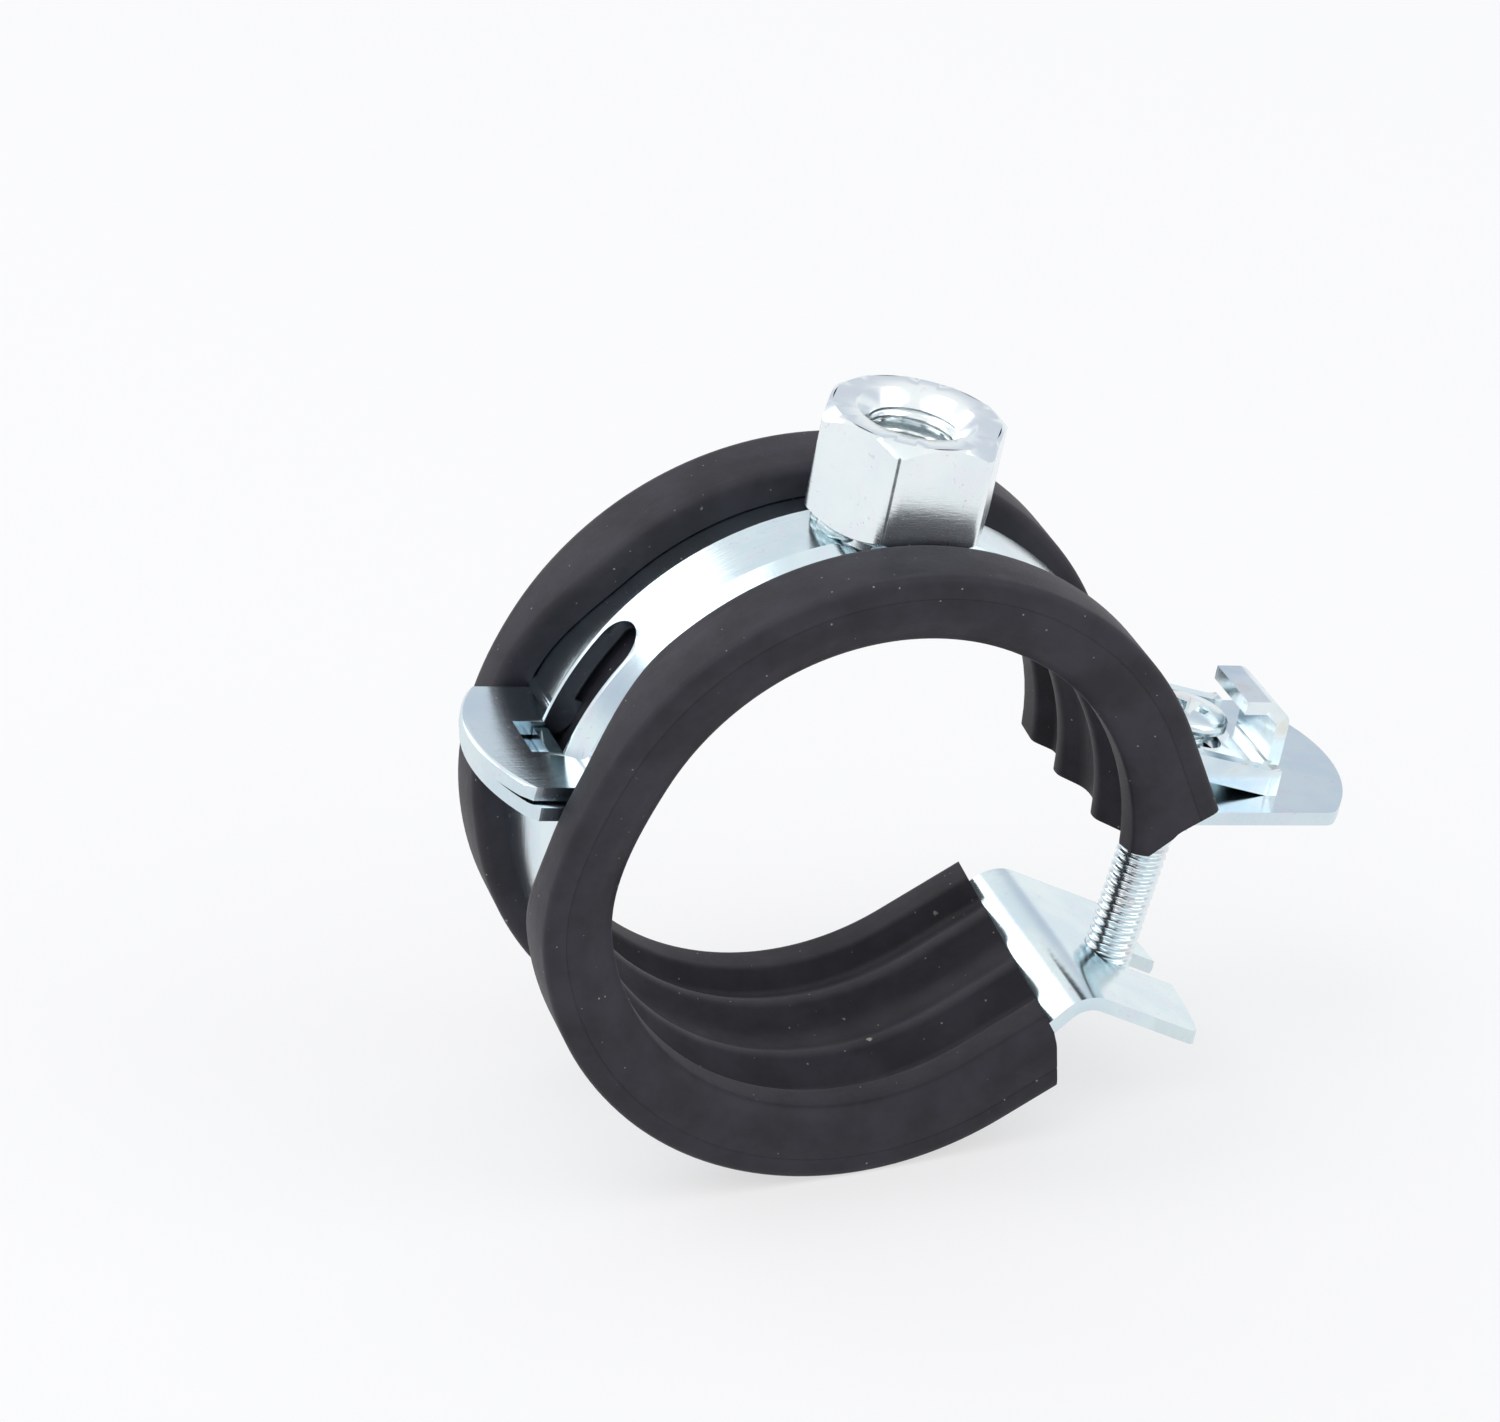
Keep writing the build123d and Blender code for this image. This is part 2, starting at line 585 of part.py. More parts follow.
with BuildPart() as connection_nut:
    with BuildSketch(Plane.XY.offset(NUT_BASE_Z)):
        RegularPolygon(nut_corner_r, 6)
    extrude(amount=NUT_HEIGHT)
    with BuildSketch(Plane.XY.offset(NUT_FLAT_Z)):
        Circle(NUT_BOSS_R)
    extrude(amount=NUT_BOSS_HEIGHT)
    with BuildSketch(Plane.XZ) as nut_chamfer:
        with BuildLine():
            Polyline(
                (NUT_CHAMFER_R, NUT_TOP_Z),
                (nut_corner_r + SHEET, NUT_TOP_Z - chamfer_drop - SHEET),
                (nut_corner_r + SHEET, NUT_TOP_Z + SHEET),
                (NUT_CHAMFER_R, NUT_TOP_Z + SHEET),
                close=True,
            )
        make_face()
    revolve(axis=Axis.Z, mode=Mode.SUBTRACT)
    with BuildSketch(Plane.XY.offset(NUT_FLAT_Z)):
        Circle(NUT_THREAD_R)
    extrude(amount=NUT_BOSS_HEIGHT + NUT_HEIGHT, mode=Mode.SUBTRACT)
    chamfer(
        connection_nut.edges().filter_by(GeomType.CIRCLE).sort_by(Axis.Z)[-1:].filter_by(
            lambda edge: abs(edge.radius - NUT_THREAD_R) < SWEEP_CLEARANCE
        ),
        length=NUT_COUNTERSINK_R - NUT_THREAD_R,
    )
connection_nut.part.label = "connection_nut"
export_step(connection_nut.part, "parts/connection_nut.step")

# Locking keeper: a channel that lies sloping on the upper ear, with a hooked post at its end
keeper_level_z = UPPER_EAR_TOP_Z + HALF_SHEET
keeper_start_z = keeper_level_z + KEEPER_FLOOR_RISE
keeper_slope_deg = degrees(
    atan2(keeper_level_z - keeper_start_z, KEEPER_TOUCH_X - KEEPER_FROM_X)
)
keeper_wall_line = (
    (KEEPER_FROM_X, keeper_start_z),
    (KEEPER_TOUCH_X, keeper_level_z),
    (KEEPER_WALL_TO_X, keeper_level_z),
)

with BuildPart() as locking_keeper:
    with BuildSketch(Plane.XZ):
        with BuildLine():
            Polyline(
                *keeper_wall_line,
                *[(x, z + KEEPER_WALL) for x, z in reversed(keeper_wall_line)],
                close=True,
            )
        make_face()
    extrude(amount=KEEPER_HALF, both=True)
    with BuildSketch(Plane.XZ):
        with BuildLine():
            Polyline(
                *[(x, z - SHEET * 2) for x, z in keeper_wall_line],
                *[(x, z + KEEPER_WALL * 2) for x, z in reversed(keeper_wall_line)],
                close=True,
            )
        make_face()
    extrude(amount=KEEPER_HALF - SHEET, both=True, mode=Mode.SUBTRACT)
    with BuildLine(Plane.XZ) as keeper_path:
        FilletPolyline(
            *keeper_wall_line[:2],
            (KEEPER_POST_X, keeper_level_z),
            (KEEPER_POST_X, KEEPER_POST_TOP_Z),
            (KEEPER_HOOK_BEND_X, KEEPER_HOOK_Z),
            (KEEPER_HOOK_TIP_X, KEEPER_HOOK_Z),
            radius=KEEPER_BEND_R,
        )
    with BuildSketch(
        Plane(
            origin=(KEEPER_FROM_X, 0, keeper_start_z),
            x_dir=(0, 1, 0),
            z_dir=(cos(radians(keeper_slope_deg)), 0, sin(radians(keeper_slope_deg))),
        )
    ):
        Rectangle(KEEPER_HALF * 2, SHEET)
    sweep(path=keeper_path.wires()[0])
    with BuildSketch(Plane.XY.offset(ear_bottom_z)) as beside_hook:
        for side in (1, -1):
            with Locations((KEEPER_WALL_TO_X, side * KEEPER_HOOK_HALF)):
                Rectangle(
                    SHEET * 4,
                    CUT_WIDTH,
                    align=(Align.MIN, Align.MIN if side > 0 else Align.MAX),
                )
    extrude(amount=CUT_DEPTH, mode=Mode.SUBTRACT)
    with BuildSketch(Plane.XY.offset(keeper_level_z + KEEPER_WALL + SHEET)) as above_walls:
        for side in (1, -1):
            with Locations((KEEPER_WALL_TO_X, side * KEEPER_HOOK_HALF)):
                Rectangle(
                    SHEET * 4,
                    CUT_WIDTH,
                    align=(Align.MAX, Align.MIN if side > 0 else Align.MAX),
                )
    extrude(amount=CUT_DEPTH, mode=Mode.SUBTRACT)
    with BuildSketch(Plane.XY.offset(ear_bottom_z)):
        with Locations(((UPPER_EAR_SLOT_FROM_X + UPPER_EAR_SLOT_TO_X) / 2, 0)):
            SlotOverall(UPPER_EAR_SLOT_TO_X - UPPER_EAR_SLOT_FROM_X, SCREW_SLOT_HALF * 2)
    extrude(amount=KEEPER_FLOOR_RISE + KEEPER_WALL + SHEET, mode=Mode.SUBTRACT)
locking_keeper.part.label = "locking_keeper"
export_step(locking_keeper.part, "parts/locking_keeper.step")

# Closing screw: pan head with a cross recess, standing on the keeper's floor
screw_plane = Plane(
    origin=(screw_seat_x, 0, SCREW_SEAT_Z),
    x_dir=(cos(radians(screw_lean_deg)), 0, -sin(radians(screw_lean_deg))),
    z_dir=(sin(radians(screw_lean_deg)), 0, cos(radians(screw_lean_deg))),
)

with BuildPart() as closing_screw:
    with BuildSketch(screw_plane):
        Circle(HEAD_R)
    extrude(amount=HEAD_HEIGHT)
    fillet(closing_screw.edges().sort_by(Axis.Z)[-1:], radius=HEAD_ROUND)
    with BuildSketch(screw_plane):
        Circle(SCREW_R)
    extrude(amount=-SCREW_SHANK)
    chamfer(
        closing_screw.edges().filter_by(GeomType.CIRCLE).sort_by(Axis.Z)[:1],
        length=SCREW_TIP_CHAMFER,
    )
    with BuildSketch(screw_plane.offset(HEAD_HEIGHT)):
        Rectangle(RECESS_LENGTH, RECESS_WIDTH, rotation=45)
        Rectangle(RECESS_WIDTH, RECESS_LENGTH, rotation=45)
    extrude(amount=-RECESS_DEPTH, mode=Mode.SUBTRACT)
closing_screw.part.label = "closing_screw"
export_step(closing_screw.part, "parts/closing_screw.step")
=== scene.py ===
"""Rubber lined pipe clamp: liner, nut, screw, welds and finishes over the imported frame."""

import logging
from dataclasses import dataclass
from enum import Enum
from math import cos, pi, radians, sin, sqrt, tan
from typing import Any

import bmesh
import bpy
from mathutils import Matrix, Vector


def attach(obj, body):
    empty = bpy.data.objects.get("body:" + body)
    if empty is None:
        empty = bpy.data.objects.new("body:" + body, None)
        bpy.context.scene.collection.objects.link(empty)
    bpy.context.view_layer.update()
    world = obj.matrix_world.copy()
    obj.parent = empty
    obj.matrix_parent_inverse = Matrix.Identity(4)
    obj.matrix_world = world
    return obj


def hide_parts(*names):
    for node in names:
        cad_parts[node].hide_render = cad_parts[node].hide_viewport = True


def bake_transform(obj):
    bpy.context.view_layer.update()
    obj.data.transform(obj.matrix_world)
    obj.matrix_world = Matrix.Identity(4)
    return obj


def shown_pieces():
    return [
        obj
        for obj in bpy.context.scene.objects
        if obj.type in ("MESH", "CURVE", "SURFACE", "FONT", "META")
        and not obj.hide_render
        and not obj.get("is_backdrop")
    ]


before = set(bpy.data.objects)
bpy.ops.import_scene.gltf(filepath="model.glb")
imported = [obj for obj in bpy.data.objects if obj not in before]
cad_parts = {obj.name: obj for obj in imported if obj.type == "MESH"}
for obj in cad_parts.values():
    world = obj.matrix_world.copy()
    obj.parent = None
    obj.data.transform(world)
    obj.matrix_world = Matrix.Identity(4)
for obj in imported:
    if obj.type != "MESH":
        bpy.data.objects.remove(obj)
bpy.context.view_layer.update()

LOG = logging.getLogger("pipe_clamp")
MM = 0.001

Point = tuple[float, float, float]
Colour = tuple[float, float, float, float]


def smooth(value: float, low: float, high: float) -> float:
    """Smooth step from 0 at low to 1 at high.

    Args:
        value: Number to place between the two ends.
        low: Where the step starts.
        high: Where the step ends.

    Returns:
        A share from 0 to 1.
    """
    share = min(max((value - low) / (high - low), 0.0), 1.0)
    return share * share * (3 - 2 * share)


def rounded(corners: list[tuple[float, float, float]], steps: int = 3) -> list[tuple[float, float]]:
    """Closed outline with an arc at each corner.

    Args:
        corners: Corners as (x, y, radius).
        steps: Pieces of each arc.

    Returns:
        The outline's points.
    """
    outline = []
    for index, (x, y, radius) in enumerate(corners):
        corner = Vector((x, y))
        if radius <= 0:
            outline.append((x, y))
            continue
        before = Vector(corners[index - 1][:2]) - corner
        after = Vector(corners[(index + 1) % len(corners)][:2]) - corner
        reach = min(radius, before.length * 0.45, after.length * 0.45)
        start = corner + before.normalized() * reach
        end = corner + after.normalized() * reach
        for step in range(steps + 1):
            share = step / steps
            point = start.lerp(corner, share).lerp(corner.lerp(end, share), share)
            outline.append((point.x, point.y))
    return outline


def turns_round(count: int) -> list[float]:
    """Evenly spaced turns of a circle, in radians."""
    return [2 * pi * index / count for index in range(count)]


def level_circle(radius: float, z: float, count: int) -> list[Point]:
    """Level ring of points.

    Args:
        radius: Radius of the ring.
        z: Its level.
        count: Number of points.

    Returns:
        The ring's points.
    """
    return [(radius * cos(turn), radius * sin(turn), z) for turn in turns_round(count)]


class MeshMaker:
    """Rows of points joined into one mesh, in millimetres."""

    def __init__(self, name: str) -> None:
        """Starts an empty mesh.

        Args:
            name: Name of the piece.
        """
        self.name = name
        self.mesh = bmesh.new()

    def row(self, points: list[Point]) -> list[Any]:
        """Adds points and returns their vertices."""
        return [self.mesh.verts.new(Vector(point) * MM) for point in points]

    def band(self, first: list[Any], second: list[Any]) -> None:
        """Joins two closed rows of the same length with faces.

        Args:
            first: One row of vertices.
            second: The next row.
        """
        count = len(first)
        for index in range(count):
            after = (index + 1) % count
            self.mesh.faces.new((first[index], first[after], second[after], second[index]))

    def loft(self, rows: list[list[Point]], capped: bool = True) -> None:
        """Joins closed rows in order.

        Args:
            rows: Rows of points, all of one length.
            capped: Whether the first and last row are closed with a face.
        """
        made = [self.row(points) for points in rows]
        for first, second in zip(made, made[1:]):
            self.band(first, second)
        if capped:
            self.mesh.faces.new(list(reversed(made[0])))
            self.mesh.faces.new(made[-1])

    def ring(self, rows: list[list[Point]]) -> None:
        """Joins closed rows in order and the last to the first.

        Args:
            rows: Rows of points, all of one length.
        """
        made = [self.row(points) for points in rows]
        for first, second in zip(made, made[1:] + made[:1]):
            self.band(first, second)

    def finish(self, sharp_deg: float = 38.0) -> bpy.types.Object:
        """Turns the rows into a smooth-shaded object.

        Args:
            sharp_deg: Angle above which an edge stays sharp.

        Returns:
            The new object.
        """
        bmesh.ops.triangulate(
            self.mesh, faces=[face for face in self.mesh.faces if len(face.verts) > 4]
        )
        bmesh.ops.recalc_face_normals(self.mesh, faces=self.mesh.faces)
        for face in self.mesh.faces:
            face.smooth = True
        data = bpy.data.meshes.new(self.name)
        self.mesh.to_mesh(data)
        self.mesh.free()
        data.set_sharp_from_angle(angle=radians(sharp_deg))
        made = bpy.data.objects.new(self.name, data)
        bpy.context.scene.collection.objects.link(made)
        return made


class Value:
    """A node's output that takes part in sums as a number does."""

    def __init__(self, shader: "NodeMaker", socket: bpy.types.NodeSocket) -> None:
        """Wraps a socket.

        Args:
            shader: Maker of the node tree that the socket is in.
            socket: Output socket.
        """
        self.shader = shader
        self.socket = socket

    def maths(self, operation: str, first: Any, second: Any = 0.0) -> "Value":
        """Adds a Math node.

        Args:
            operation: Blender's name of the operation.
            first: First operand.
            second: Second operand.

        Returns:
            The node's result.
        """
        return self.shader.add("ShaderNodeMath", {"operation": operation}, {0: first, 1: second})

    def __add__(self, other: Any) -> "Value":
        """Sum."""
        return self.maths("ADD", self, other)

    def __radd__(self, other: Any) -> "Value":
        """Sum with a number on the left."""
        return self.maths("ADD", other, self)

    def __sub__(self, other: Any) -> "Value":
        """Difference."""
        return self.maths("SUBTRACT", self, other)

    def __rsub__(self, other: Any) -> "Value":
        """Difference from a number on the left."""
        return self.maths("SUBTRACT", other, self)

    def __mul__(self, other: Any) -> "Value":
        """Product."""
        return self.maths("MULTIPLY", self, other)

    def __rmul__(self, other: Any) -> "Value":
        """Product with a number on the left."""
        return self.maths("MULTIPLY", other, self)

    def __truediv__(self, other: Any) -> "Value":
        """Quotient."""
        return self.maths("DIVIDE", self, other)

    def __pow__(self, other: Any) -> "Value":
        """Power."""
        return self.maths("POWER", self, other)

    def size(self) -> "Value":
        """Value without its sign."""
        return self.maths("ABSOLUTE", self)

    def above(self, level: float, softness: float) -> "Value":
        """Mask of where the value is above a level.

        Args:
            level: Middle of the step.
            softness: Half width of the step.

        Returns:
            A mask from 0 to 1.
        """
        return self.shader.add(
            "ShaderNodeMapRange",
            {"interpolation_type": "SMOOTHSTEP"},
            {"Value": self, "From Min": level - softness, "From Max": level + softness},
        )

    def below(self, level: float, softness: float) -> "Value":
        """Mask of where the value is below a level."""
        return 1 - self.above(level, softness)


class NodeMaker:
    """Adds nodes to one node tree."""

    def __init__(self, tree: bpy.types.NodeTree) -> None:
        """Takes the tree to fill.

        Args:
            tree: Node tree of a material or a world.
        """
        self.tree = tree

    def add(
        self, kind: str, settings: dict[str, Any], sockets: dict[Any, Any], out: Any = 0
    ) -> Value:
        """Adds a node.

        Args:
            kind: Blender's type of the node.
            settings: Properties, set first; stops sets a ramp's stops.
            sockets: Values or links of the inputs.
            out: Output to return.

        Returns:
            The chosen output.
        """
        node = self.tree.nodes.new(kind)
        for name, setting in settings.items():
            if name == "stops":
                self.stops(node.color_ramp, setting)
            else:
                setattr(node, name, setting)
        for name, value in sockets.items():
            if isinstance(value, Value):
                self.tree.links.new(value.socket, node.inputs[name])
            else:
                node.inputs[name].default_value = value
        return Value(self, node.outputs[out])

    def stops(self, ramp: bpy.types.ColorRamp, stops: tuple[tuple[float, Colour], ...]) -> None:
        """Sets a ramp's stops.

        Args:
            ramp: Ramp to fill.
            stops: Positions and colours.
        """
        while len(ramp.elements) < len(stops):
            ramp.elements.new(0.5)
        for element, (position, colour) in zip(ramp.elements, stops):
            element.position = position
            element.color = colour


class Shader(NodeMaker):
    """One material, built from expressions."""

    def __init__(self, name: str) -> None:
        """Makes an empty material with a surface shader.

        Args:
            name: Name of the finish.
        """
        self.material = bpy.data.materials.new(name)
        self.material.use_nodes = True
        super().__init__(self.material.node_tree)
        self.surface = self.tree.nodes["Principled BSDF"]
        self.place = self.add("ShaderNodeTexCoord", {}, {}, "Object")

    def stretched(self, x: float, y: float, z: float) -> Value:
        """Place on the object in millimetres, scaled along each axis."""
        return self.add(
            "ShaderNodeVectorMath",
            {"operation": "MULTIPLY"},
            {0: self.place, 1: (x / MM, y / MM, z / MM)},
        )

    def noise(self, place: Value, scale: float, detail: float = 2.0, rough: float = 0.5) -> Value:
        """Noise from 0 to 1.

        Args:
            place: Place in millimetres.
            scale: Waves per millimetre.
            detail: Octaves.
            rough: Strength of the finer octaves.

        Returns:
            The noise.
        """
        return self.add(
            "ShaderNodeTexNoise",
            {"noise_dimensions": "3D"},
            {"Vector": place, "Scale": scale, "Detail": detail, "Roughness": rough},
            "Fac",
        )

    def cells(self, place: Value, scale: float, output: str) -> Value:
        """Random cells.

        Args:
            place: Place in millimetres.
            scale: Cells per millimetre.
            output: Distance from the cell's middle, or its Color.

        Returns:
            The chosen output.
        """
        return self.add(
            "ShaderNodeTexVoronoi",
            {"feature": "F1"},
            {"Vector": place, "Scale": scale, "Randomness": 1.0},
            output,
        )

    def axis(self, output: str, index: int) -> Value:
        """One part of a texture coordinate: 0, 1 or 2 for x, y or z."""
        source = self.add("ShaderNodeTexCoord", {}, {}, output)
        return self.add("ShaderNodeSeparateXYZ", {}, {"Vector": source}, index)

    def mix(self, share: Any, first: Any, second: Any, blend: str = "MIX") -> Value:
        """Mixes two colours.

        Args:
            share: How much of the second.
            first: First colour.
            second: Second colour.
            blend: Blender's name of the blend.

        Returns:
            The mixed colour.
        """
        return self.add(
            "ShaderNodeMix",
            {"data_type": "RGBA", "blend_type": blend, "clamp_result": True},
            {0: share, 6: first, 7: second},
            2,
        )

    def bumped(self, height: Value, depth_mm: float, strength: float) -> None:
        """Feeds a height to the surface's normal.

        Args:
            height: Height from 0 to 1.
            depth_mm: Depth of the relief.
            strength: Strength of the effect.
        """
        sockets = {"Height": height, "Strength": strength, "Distance": depth_mm * MM}
        bump = self.add("ShaderNodeBump", {}, sockets)
        self.feed("Normal", bump)

    def feed(self, name: str, value: Any) -> None:
        """Links or sets an input of the surface shader.

        Args:
            name: Name of the input.
            value: Number, colour or linked value.
        """
        if isinstance(value, Value):
            self.tree.links.new(value.socket, self.surface.inputs[name])
        else:
            self.surface.inputs[name].default_value = value


class Rolling(Enum):
    """Direction of the fine lines in sheet metal."""

    AROUND = (0.12, 3.2, 0.12)
    SPUN = (0.7, 0.7, 4.0)
    NONE = (1.0, 1.0, 1.0)


@dataclass(frozen=True)
class ZincPlate:
    """Bright zinc plating with cloudy tints, fine lines and small pits."""

    name: str
    pale: Colour
    blue: Colour
    warm: Colour
    low_rough: float
    high_rough: float
    lines: Rolling
    line_depth_mm: float
    sheared_edges: bool = False
    # Place of the dark line painted along one upright corner, if any.
    dark_corner_line_at_mm: tuple[float, float] | None = None
    dust: Colour = (0.42, 0.42, 0.44, 1.0)
    # Colour of the dark line painted along one upright corner.
    torn: Colour = (0.45, 0.50, 0.55, 1.0)
    dark_corner_line: Colour = (0.05, 0.07, 0.08, 1.0)
    flange_to_x_mm: float = -26.6
    ear_from_x_mm: float = 26.0

    def build(self) -> bpy.types.Material:
        """Builds the material.

        Returns:
            The material.
        """
        shader = Shader(self.name)
        even = shader.stretched(1, 1, 1)
        cloud = shader.noise(even, 0.16, 3.0, 0.55)
        patch = shader.noise(even, 0.55, 2.0, 0.5)
        grain = shader.noise(even, 2.6, 3.0, 0.6)
        lines = shader.noise(shader.stretched(*self.lines.value), 1.1, 4.0, 0.65)
        colour = shader.mix(cloud.above(0.5, 0.16), self.pale, self.blue)
        colour = shader.mix(patch.above(0.62, 0.1) * 0.5, colour, self.warm)
        dusty = grain.above(0.66, 0.06) * patch.above(0.5, 0.2)
        colour = shader.mix(dusty * 0.35, colour, self.dust)
        rough = self.low_rough + (self.high_rough - self.low_rough) * cloud
        rough = rough + lines * 0.1 + dusty * 0.15
        height = lines * 0.7 + grain * 0.3
        if self.sheared_edges:
            edge = self.edge_mask(shader)
            tears = shader.noise(shader.stretched(2.2, 2.2, 0.35), 1.6, 4.0, 0.7)
            colour = shader.mix(edge * 0.3 * tears, colour, self.torn)
            rough = rough + edge * 0.16
            height = height + edge * tears * 0.8
        # Dark line painted along one upright corner, also made rougher.
        if self.dark_corner_line_at_mm:
            dark_corner_line = self.dark_corner_line_mask(shader)
            colour = shader.mix(dark_corner_line * (0.55 + 0.45 * grain), colour, self.dark_corner_line)
            rough = rough + dark_corner_line * 0.3
        shader.feed("Base Color", colour)
        shader.feed("Roughness", rough)
        shader.feed("Metallic", 1.0)
        shader.bumped(height, self.line_depth_mm, 0.55)
        return shader.material

    def dark_corner_line_mask(self, shader: Shader) -> Value:
        """Mask of the dark line painted along one upright corner edge.

        Args:
            shader: Maker of the material.

        Returns:
            A mask from 0 to 1.
        """
        aside = shader.axis("Object", 0) / MM - self.dark_corner_line_at_mm[0]
        ahead = shader.axis("Object", 1) / MM - self.dark_corner_line_at_mm[1]
        return (aside * aside + ahead * ahead).below(0.012, 0.010)

    def edge_mask(self, shader: Shader) -> Value:
        """Mask of the sheared edges of the flat flange and ears.

        Args:
            shader: Maker of the material.

        Returns:
            A mask from 0 to 1.
        """
        across = shader.axis("Normal", 2).size().below(0.55, 0.12)
        place = shader.axis("Object", 0) / MM
        flange = place.below(self.flange_to_x_mm, 0.4)
        return across * (flange + place.above(self.ear_from_x_mm, 0.4))


@dataclass(frozen=True)
class MouldedRubber:
    """Black moulded rubber with a dusty bloom, glossy smears and pale specks."""

    name: str
    black: Colour
    bloom: Colour
    speck: Colour
    rough: float
    specular: float = 0.33
    relief_mm: float = 0.05
    large_cells: float = 0.33
    fine_cells: float = 1.1
    smear_dark: Colour = (0.010, 0.010, 0.013, 1.0)

    def build(self) -> bpy.types.Material:
        """Builds the material.

        Returns:
            The material.
        """
        shader = Shader(self.name)
        even = shader.stretched(1, 1, 1)
        cloud = shader.noise(even, 0.22, 3.0, 0.6)
        streaks = shader.noise(shader.stretched(0.25, 1.5, 0.25), 0.5, 3.0, 0.6)
        grain = shader.noise(even, 3.5, 3.0, 0.6)
        smear = shader.noise(shader.stretched(0.6, 1.3, 0.6), 0.42, 2.0, 0.5).above(0.70, 0.12)
        specks = self.specks(shader, even, grain)
        bloomed = cloud.above(0.5, 0.2) * 0.7 + streaks * 0.3
        colour = shader.mix(bloomed, self.black, self.bloom)
        colour = shader.mix(smear * 0.2, colour, self.smear_dark)
        colour = shader.mix(specks * 0.85, colour, self.speck)
        shader.feed("Base Color", colour)
        shader.feed("Roughness", self.rough + grain * 0.12 - smear * 0.12 + specks * 0.2)
        shader.feed("Specular IOR Level", self.specular)
        shader.bumped(grain * 0.5 + streaks * 0.8 + specks * 1.5, self.relief_mm, 0.5)
        return shader.material

    def specks(self, shader: Shader, place: Value, grain: Value) -> Value:
        """Mask of a few large ragged specks and of clustered fine ones.

        Args:
            shader: Maker of the material.
            place: Place in millimetres.
            grain: Fine noise that frays the large specks.

        Returns:
            A mask from 0 to 1.
        """
        tint = shader.cells(place, self.large_cells, "Color")
        chosen = shader.add("ShaderNodeSeparateColor", {}, {"Color": tint}, 0).above(0.84, 0.01)
        ragged = shader.cells(place, self.large_cells, "Distance") + (grain - 0.5) * 0.1
        large = ragged.below(0.07, 0.02) * chosen
        sparse = shader.noise(place, 0.9, 2.0, 0.5).above(0.56, 0.04)
        fine = shader.cells(place, self.fine_cells, "Distance").below(0.085, 0.02)
        return large.maths("MAXIMUM", large, fine * sparse * 0.55)


@dataclass(frozen=True)
class PaleFloor:
    """Plain pale table top."""

    name: str = "pale_floor"
    colour: Colour = (0.93, 0.93, 0.935, 1.0)
    lift: float = 0.62

    def build(self) -> bpy.types.Material:
        """Builds plain diffuse paint with part of it at full white in view.

        Returns:
            The material.
        """
        shader = Shader(self.name)
        shader.feed("Base Color", self.colour)
        shader.feed("Roughness", 0.9)
        shader.feed("Specular IOR Level", 0.1)
        glow = shader.add("ShaderNodeEmission", {}, {"Strength": 1.0})
        rays = shader.add("ShaderNodeLightPath", {}, {}, "Is Camera Ray")
        shiny = shader.add("ShaderNodeLightPath", {}, {}, "Is Glossy Ray")
        both = shader.add(
            "ShaderNodeMixShader",
            {},
            {0: (rays + shiny) * self.lift, 1: Value(shader, shader.surface.outputs[0]), 2: glow},
        )
        output = shader.tree.nodes["Material Output"]
        shader.tree.links.new(both.socket, output.inputs["Surface"])
        return shader.material


BAND_ZINC = ZincPlate(
    name="band_zinc",
    pale=(0.74, 0.85, 0.87, 1.0),
    blue=(0.66, 0.78, 0.84, 1.0),
    warm=(0.76, 0.76, 0.86, 1.0),
    low_rough=0.07,
    high_rough=0.15,
    lines=Rolling.AROUND,
    line_depth_mm=0.02,
    sheared_edges=True,
)
NUT_ZINC = ZincPlate(
    name="nut_zinc",
    pale=(0.86, 0.91, 0.92, 1.0),
    blue=(0.80, 0.88, 0.90, 1.0),
    warm=(0.84, 0.84, 0.90, 1.0),
    low_rough=0.12,
    high_rough=0.20,
    lines=Rolling.SPUN,
    line_depth_mm=0.02,
    # Place of the dark line painted along one upright corner of the nut.
    dark_corner_line_at_mm=(-3.67, -6.36),
)
WELD_ZINC = ZincPlate(
    name="weld_zinc",
    pale=(0.70, 0.80, 0.82, 1.0),
    blue=(0.46, 0.60, 0.64, 1.0),
    warm=(0.62, 0.66, 0.66, 1.0),
    low_rough=0.26,
    high_rough=0.40,
    lines=Rolling.NONE,
    line_depth_mm=0.12,
)
SCREW_ZINC = ZincPlate(
    name="screw_zinc",
    pale=(0.78, 0.85, 0.87, 1.0),
    blue=(0.70, 0.82, 0.86, 1.0),
    warm=(0.76, 0.68, 0.68, 1.0),
    low_rough=0.10,
    high_rough=0.18,
    lines=Rolling.NONE,
    line_depth_mm=0.015,
)
KEEPER_ZINC = ZincPlate(
    name="keeper_zinc",
    pale=(0.80, 0.87, 0.89, 1.0),
    blue=(0.62, 0.74, 0.82, 1.0),
    warm=(0.74, 0.72, 0.62, 1.0),
    low_rough=0.08,
    high_rough=0.16,
    lines=Rolling.AROUND,
    line_depth_mm=0.015,
)
LINER_RUBBER = MouldedRubber(
    name="liner_rubber",
    black=(0.012, 0.0112, 0.0158, 1.0),
    bloom=(0.032, 0.0295, 0.041, 1.0),
    speck=(0.52, 0.49, 0.42, 1.0),
    rough=0.50,
)


def dress(piece: bpy.types.Object, material: bpy.types.Material) -> None:
    """Gives a piece one material.

    Args:
        piece: Object to dress.
        material: Its finish.
    """
    piece.data.materials.clear()
    piece.data.materials.append(material)


